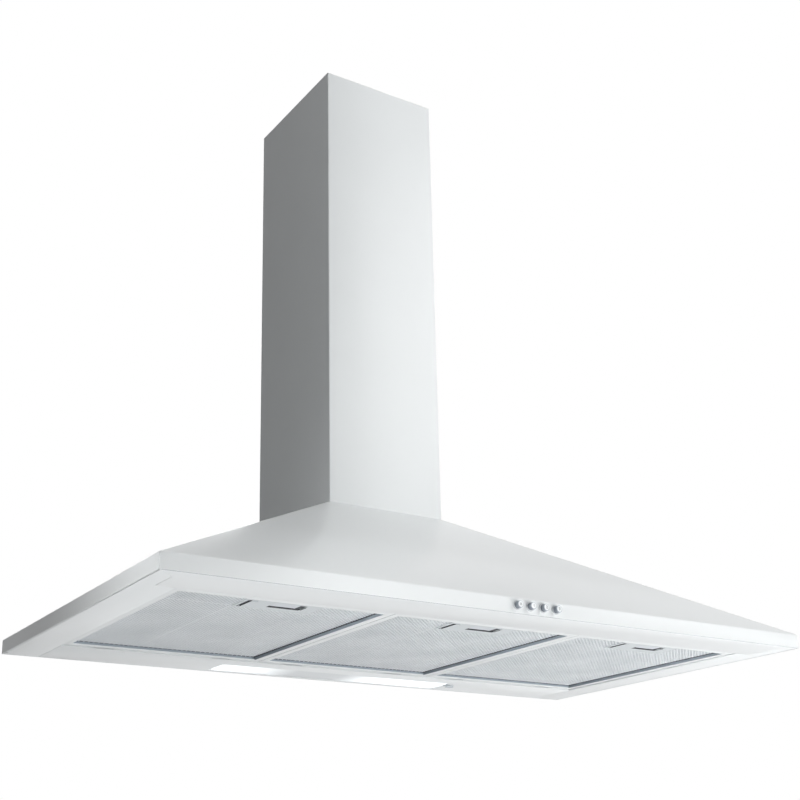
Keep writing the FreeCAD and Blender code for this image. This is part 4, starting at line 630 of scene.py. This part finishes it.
def buildNumeral(task, text):
    across, front, level = capPlace(task)
    curve = bpy.data.curves.new(f"button.mark.{task}", "FONT")
    curve.body = text
    curve.size = cap["markHeight"] * mm * cap["letterSize"]
    curve.align_x = "CENTER"
    curve.align_y = "CENTER"
    curve.extrude = cap["markDepth"] * mm
    curve.resolution_u = 3
    writer = bpy.data.objects.new("numeral", curve)
    scene.collection.objects.link(writer)
    bpy.context.view_layer.update()
    mesh = bpy.data.meshes.new_from_object(writer)
    bpy.data.objects.remove(writer)
    piece = bpy.data.objects.new(f"button.mark.{task}", mesh)
    scene.collection.objects.link(piece)
    place = Vector((across, front - cap["faceDepth"], level)) * mm
    mesh.transform(Matrix.Translation(place) @ Matrix.Rotation(math.radians(90), 4, "X"))
    mesh.materials.clear()
    mesh.materials.append(markGrey)
    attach(piece, f"press_{task}")
    return piece


lampSign = {"root": 0.05, "edge": 0.03, "bulb": 1.05, "ring": 0.32, "raise": 0.55,
            "gap": 0.05, "baseWidth": 0.9, "baseHeight": 0.75}


def buildLampSign(task):
    # a small lamp sign: a ring with its base above it
    across, front, level = capPlace(task)
    face = front - cap["faceDepth"]
    bm = bmesh.new()
    inner, outer = lampSign["bulb"] - lampSign["ring"], lampSign["bulb"]
    root, depth = lampSign["root"], cap["markDepth"]
    spunInto(bm, [(inner, -root), (inner, depth), (outer, depth), (outer, -root), (inner, -root)],
             (across, face, level - lampSign["raise"]), (0, -1, 0), 24)
    half = lampSign["baseWidth"] / 2
    start = level - lampSign["raise"] + outer + lampSign["gap"]
    boxInto(bm, (across - half, face - depth, start),
            (across + half, face + root, start + lampSign["baseHeight"]), lampSign["edge"])
    return finishPiece(f"button.mark.{task}", bm, markGrey, f"press_{task}")


for task, text in zip(buttonTasks, ("", "1", "2", "3")):
    buildButtonFace(task)
    if text:
        buildNumeral(task, text)
    else:
        buildLampSign(task)
print("buttons marked")


# screws
screw = {"radius": 3.2, "height": 1.6, "socket": 1.3, "socketDepth": 0.9}
screwSteel = steelFinish("screwSteel", (0.60, 0.61, 0.63), 0.3, (1, 1, 8))


def buildScrews(name, places, direction, body="hood", size=1.0):
    # pan-head screws with a socket, standing on a face at each place
    bm = bmesh.new()
    radius, height = screw["radius"] * size, screw["height"] * size
    socket, bottom = screw["socket"] * size, height - screw["socketDepth"] * size
    profile = [(0, bottom), (socket * 0.9, bottom), (socket, height), (radius * 0.72, height),
               (radius * 0.94, height * 0.72), (radius, height * 0.35), (radius, 0.02), (0, 0.02)]
    for place in places:
        spunInto(bm, profile, place, direction, 20)
    return finishPiece(name, bm, screwSteel, body, smooth=35)


def insetCorners(low, high, inset):
    # the four (first, second) corners of a rectangle, moved in by inset
    return [(a, b) for a in (low[0] + inset, high[0] - inset) for b in (low[1] + inset, high[1] - inset)]


setting = {"lidInset": 6.0, "flangeInset": 7.0, "flangeSheet": 2.0, "mountRadius": 64.0, "wallBarPlace": 83.0,
           "headBarSheet": 1.2, "headBarPlace": 10.0}

lidLow, lidHigh = boxInMm("terminal_lid")
lidCorners = insetCorners((lidLow.x, lidLow.z), (lidHigh.x, lidHigh.z), setting["lidInset"])
buildScrews("screws.lid", [(x, lidLow.y, z) for x, z in lidCorners], (0, -1, 0), size=0.8)
flangeLow, flangeHigh = boxInMm("outlet_collar")
flangeCorners = insetCorners(flangeLow, flangeHigh, setting["flangeInset"])
flangeTop = flangeLow.z + setting["flangeSheet"]
buildScrews("screws.collar", [(x, y, flangeTop) for x, y in flangeCorners], (0, 0, 1), size=0.8)
bracketFace = boxInMm("motor_bracket")[1].x
motorLow, motorHigh = boxInMm("motor")
motorMiddle = (motorLow + motorHigh) / 2
mountPlaces = [(bracketFace, motorMiddle.y + setting["mountRadius"] * math.cos(turn),
                motorMiddle.z + setting["mountRadius"] * math.sin(turn))
               for turn in (0, 2 * math.pi / 3, 4 * math.pi / 3)]
buildScrews("screws.bracket", mountPlaces, (1, 0, 0), size=0.9)
barLow, barHigh = boxInMm("chimney_wall_bar")
barLevel = (barLow.z + barHigh.z) / 2
barPlaces = [(side * setting["wallBarPlace"], barLow.y, barLevel) for side in (-1, 1)]
buildScrews("screws.wall.bar", barPlaces, (0, -1, 0), size=0.7)
headLow, headHigh = boxInMm("chimney_head_bar")
headLevel = (headLow.z + headHigh.z) / 2
for name, side in (("left", -1), ("right", 1)):
    place = (side * (headHigh.x - setting["headBarSheet"]), headLow.y + setting["headBarPlace"], headLevel)
    buildScrews(f"screws.head.bar.{name}", [place], (-side, 0, 0), "upper_chimney", size=0.7)
print("screws set")


# motor bands
motorTrim = {"bandWidth": 2.2, "bandRise": 0.7, "bandRoot": 0.4, "bandEdge": 0.3, "bandPlaces": (14.0, 44.0)}


def buildMotorBands():
    # two crimped bands round the motor where its end caps meet the middle
    bm = bmesh.new()
    radius = (motorHigh.z - motorLow.z) / 2
    root, rise = radius - motorTrim["bandRoot"], radius + motorTrim["bandRise"]
    width, edge = motorTrim["bandWidth"], motorTrim["bandEdge"]
    for start in motorTrim["bandPlaces"]:
        spunInto(bm, [(root, 0), (rise, edge), (rise, width - edge), (root, width)],
                 (motorLow.x + start, motorMiddle.y, motorMiddle.z), (1, 0, 0), 72)
    return finishPiece("motor.bands", bm, screwSteel, "hood", smooth=40)


buildMotorBands()
print("motor banded")


# floor, world and lamps
studio = {"floorLevel": -0.95, "floorSize": 14, "worldStrength": 0.06}


def whiteToCamera(tree, shaderOut):
    # camera, mirror and see-through rays get plain white; the rest get the dim surface
    path = tree.nodes.new("ShaderNodeLightPath")
    first = tree.nodes.new("ShaderNodeMath")
    first.operation = "MAXIMUM"
    second = tree.nodes.new("ShaderNodeMath")
    second.operation = "MAXIMUM"
    tree.links.new(path.outputs["Is Camera Ray"], first.inputs[0])
    tree.links.new(path.outputs["Is Glossy Ray"], first.inputs[1])
    tree.links.new(first.outputs[0], second.inputs[0])
    tree.links.new(path.outputs["Is Transmission Ray"], second.inputs[1])
    mix = tree.nodes.new("ShaderNodeMixShader")
    tree.links.new(second.outputs[0], mix.inputs[0])
    tree.links.new(shaderOut, mix.inputs[1])
    return mix


def buildWorld():
    world = bpy.data.worlds.new("studioWorld")
    scene.world = world
    world.use_nodes = True
    tree = world.node_tree
    dim = tree.nodes["Background"]
    dim.inputs["Color"].default_value = (0.93, 0.97, 1.0, 1)
    dim.inputs["Strength"].default_value = studio["worldStrength"]
    bright = tree.nodes.new("ShaderNodeBackground")
    bright.inputs["Color"].default_value = (1, 1, 1, 1)
    bright.inputs["Strength"].default_value = 1.0
    mix = whiteToCamera(tree, dim.outputs[0])
    tree.links.new(bright.outputs[0], mix.inputs[2])
    tree.links.new(mix.outputs[0], tree.nodes["World Output"].inputs["Surface"])


def buildFloor():
    bm = bmesh.new()
    bmesh.ops.create_grid(bm, x_segments=1, y_segments=1, size=studio["floorSize"] / 2)
    bmesh.ops.translate(bm, vec=(0, 0, studio["floorLevel"]), verts=bm.verts)
    mesh = bpy.data.meshes.new("studioFloor")
    bm.to_mesh(mesh)
    bm.free()
    floor = bpy.data.objects.new("studioFloor", mesh)
    scene.collection.objects.link(floor)
    material, tree, shader = newMaterial("floorPale", {"Roughness": 0.8})
    cloud = objectPattern(tree, "ShaderNodeTexNoise", 0.6, Detail=2)
    colourBetween(tree, shader, cloud.outputs["Fac"], (0.52, 0.53, 0.54), (0.55, 0.56, 0.57), 0.3, 0.7)
    bright = tree.nodes.new("ShaderNodeEmission")
    mix = whiteToCamera(tree, shader.outputs[0])
    tree.links.new(bright.outputs[0], mix.inputs[2])
    tree.links.new(mix.outputs[0], tree.nodes["Material Output"].inputs["Surface"])
    mesh.materials.append(material)


lamps = {
    "key": {"place": (2.1, -2.4, 1.5), "aim": (0.0, -0.2, 0.25),
            "size": (1.8, 1.8), "power": 34},
    "low": {"place": (0.5, -1.3, -0.92), "aim": (0.05, -0.28, 0.0),
            "size": (1.6, 1.6), "power": 29},
    "lowLeft": {"place": (-0.4, -0.5, -0.92), "aim": (-0.4, -0.3, 0.0),
                "size": (0.6, 0.6), "power": 0.6, "spread": 110},
    "lowRight": {"place": (1.0, -0.3, -0.92), "aim": (0.35, -0.25, 0.0),
                 "size": (0.8, 0.8), "power": 9},
    "top": {"place": (0.6, -0.5, 2.6), "aim": (0.0, -0.2, 0.3),
            "size": (1.8, 1.8), "power": 34},
    "back": {"place": (0.9, 2.4, 1.1), "aim": (0.0, 0.0, 0.35),
             "size": (1.8, 1.8), "power": 26},
    "left": {"place": (-0.62, -0.98, 0.5), "aim": (-0.09, -0.34, 0.45),
             "size": (0.1, 1.2), "power": 0.15, "spread": 26},
    "side": {"place": (-2.1, -0.7, -0.15), "aim": (-0.45, -0.5, -0.02),
             "size": (0.3, 0.3), "power": 0.24, "spread": 16},
}


def buildLamp(name, lamp):
    light = bpy.data.lights.new(name, "AREA")
    light.shape = "RECTANGLE"
    light.size, light.size_y = lamp["size"]
    light.energy = lamp["power"]
    light.spread = math.radians(lamp.get("spread", 180))
    holder = bpy.data.objects.new(name, light)
    scene.collection.objects.link(holder)
    place, aim = Vector(lamp["place"]), Vector(lamp["aim"])
    holder.location = place
    holder.rotation_euler = (aim - place).to_track_quat("-Z", "Y").to_euler()
    holder.visible_camera = False


buildWorld()
buildFloor()
for name, lamp in lamps.items():
    buildLamp(name, lamp)
scene.view_settings.view_transform = "Standard"
print("studio lit")


# camera
viewpoint = {"place": (-0.9267, -1.6513, -0.3129), "yaw": 0.5799, "pitch": 0.2976, "roll": -0.0208,
             "lens": 59.32, "shiftUp": 0.1264}


def buildCamera():
    yaw, pitch, roll = viewpoint["yaw"], viewpoint["pitch"], viewpoint["roll"]
    forward = Vector((math.sin(yaw) * math.cos(pitch), math.cos(yaw) * math.cos(pitch), math.sin(pitch)))
    right = Vector((math.cos(yaw), -math.sin(yaw), 0))
    up = right.cross(forward)
    rolledRight = right * math.cos(roll) + up * math.sin(roll)
    rolledUp = up * math.cos(roll) - right * math.sin(roll)
    data = bpy.data.cameras.new("photoCamera")
    data.lens = viewpoint["lens"]
    data.sensor_width = 36
    data.shift_y = viewpoint["shiftUp"]
    data.clip_start = 0.01
    camera = bpy.data.objects.new("photoCamera", data)
    scene.collection.objects.link(camera)
    turn = Matrix((rolledRight, rolledUp, -forward)).transposed().to_4x4()
    camera.matrix_world = Matrix.Translation(viewpoint["place"]) @ turn
    scene.camera = camera


buildCamera()
print("camera set")

bpy.context.view_layer.update()
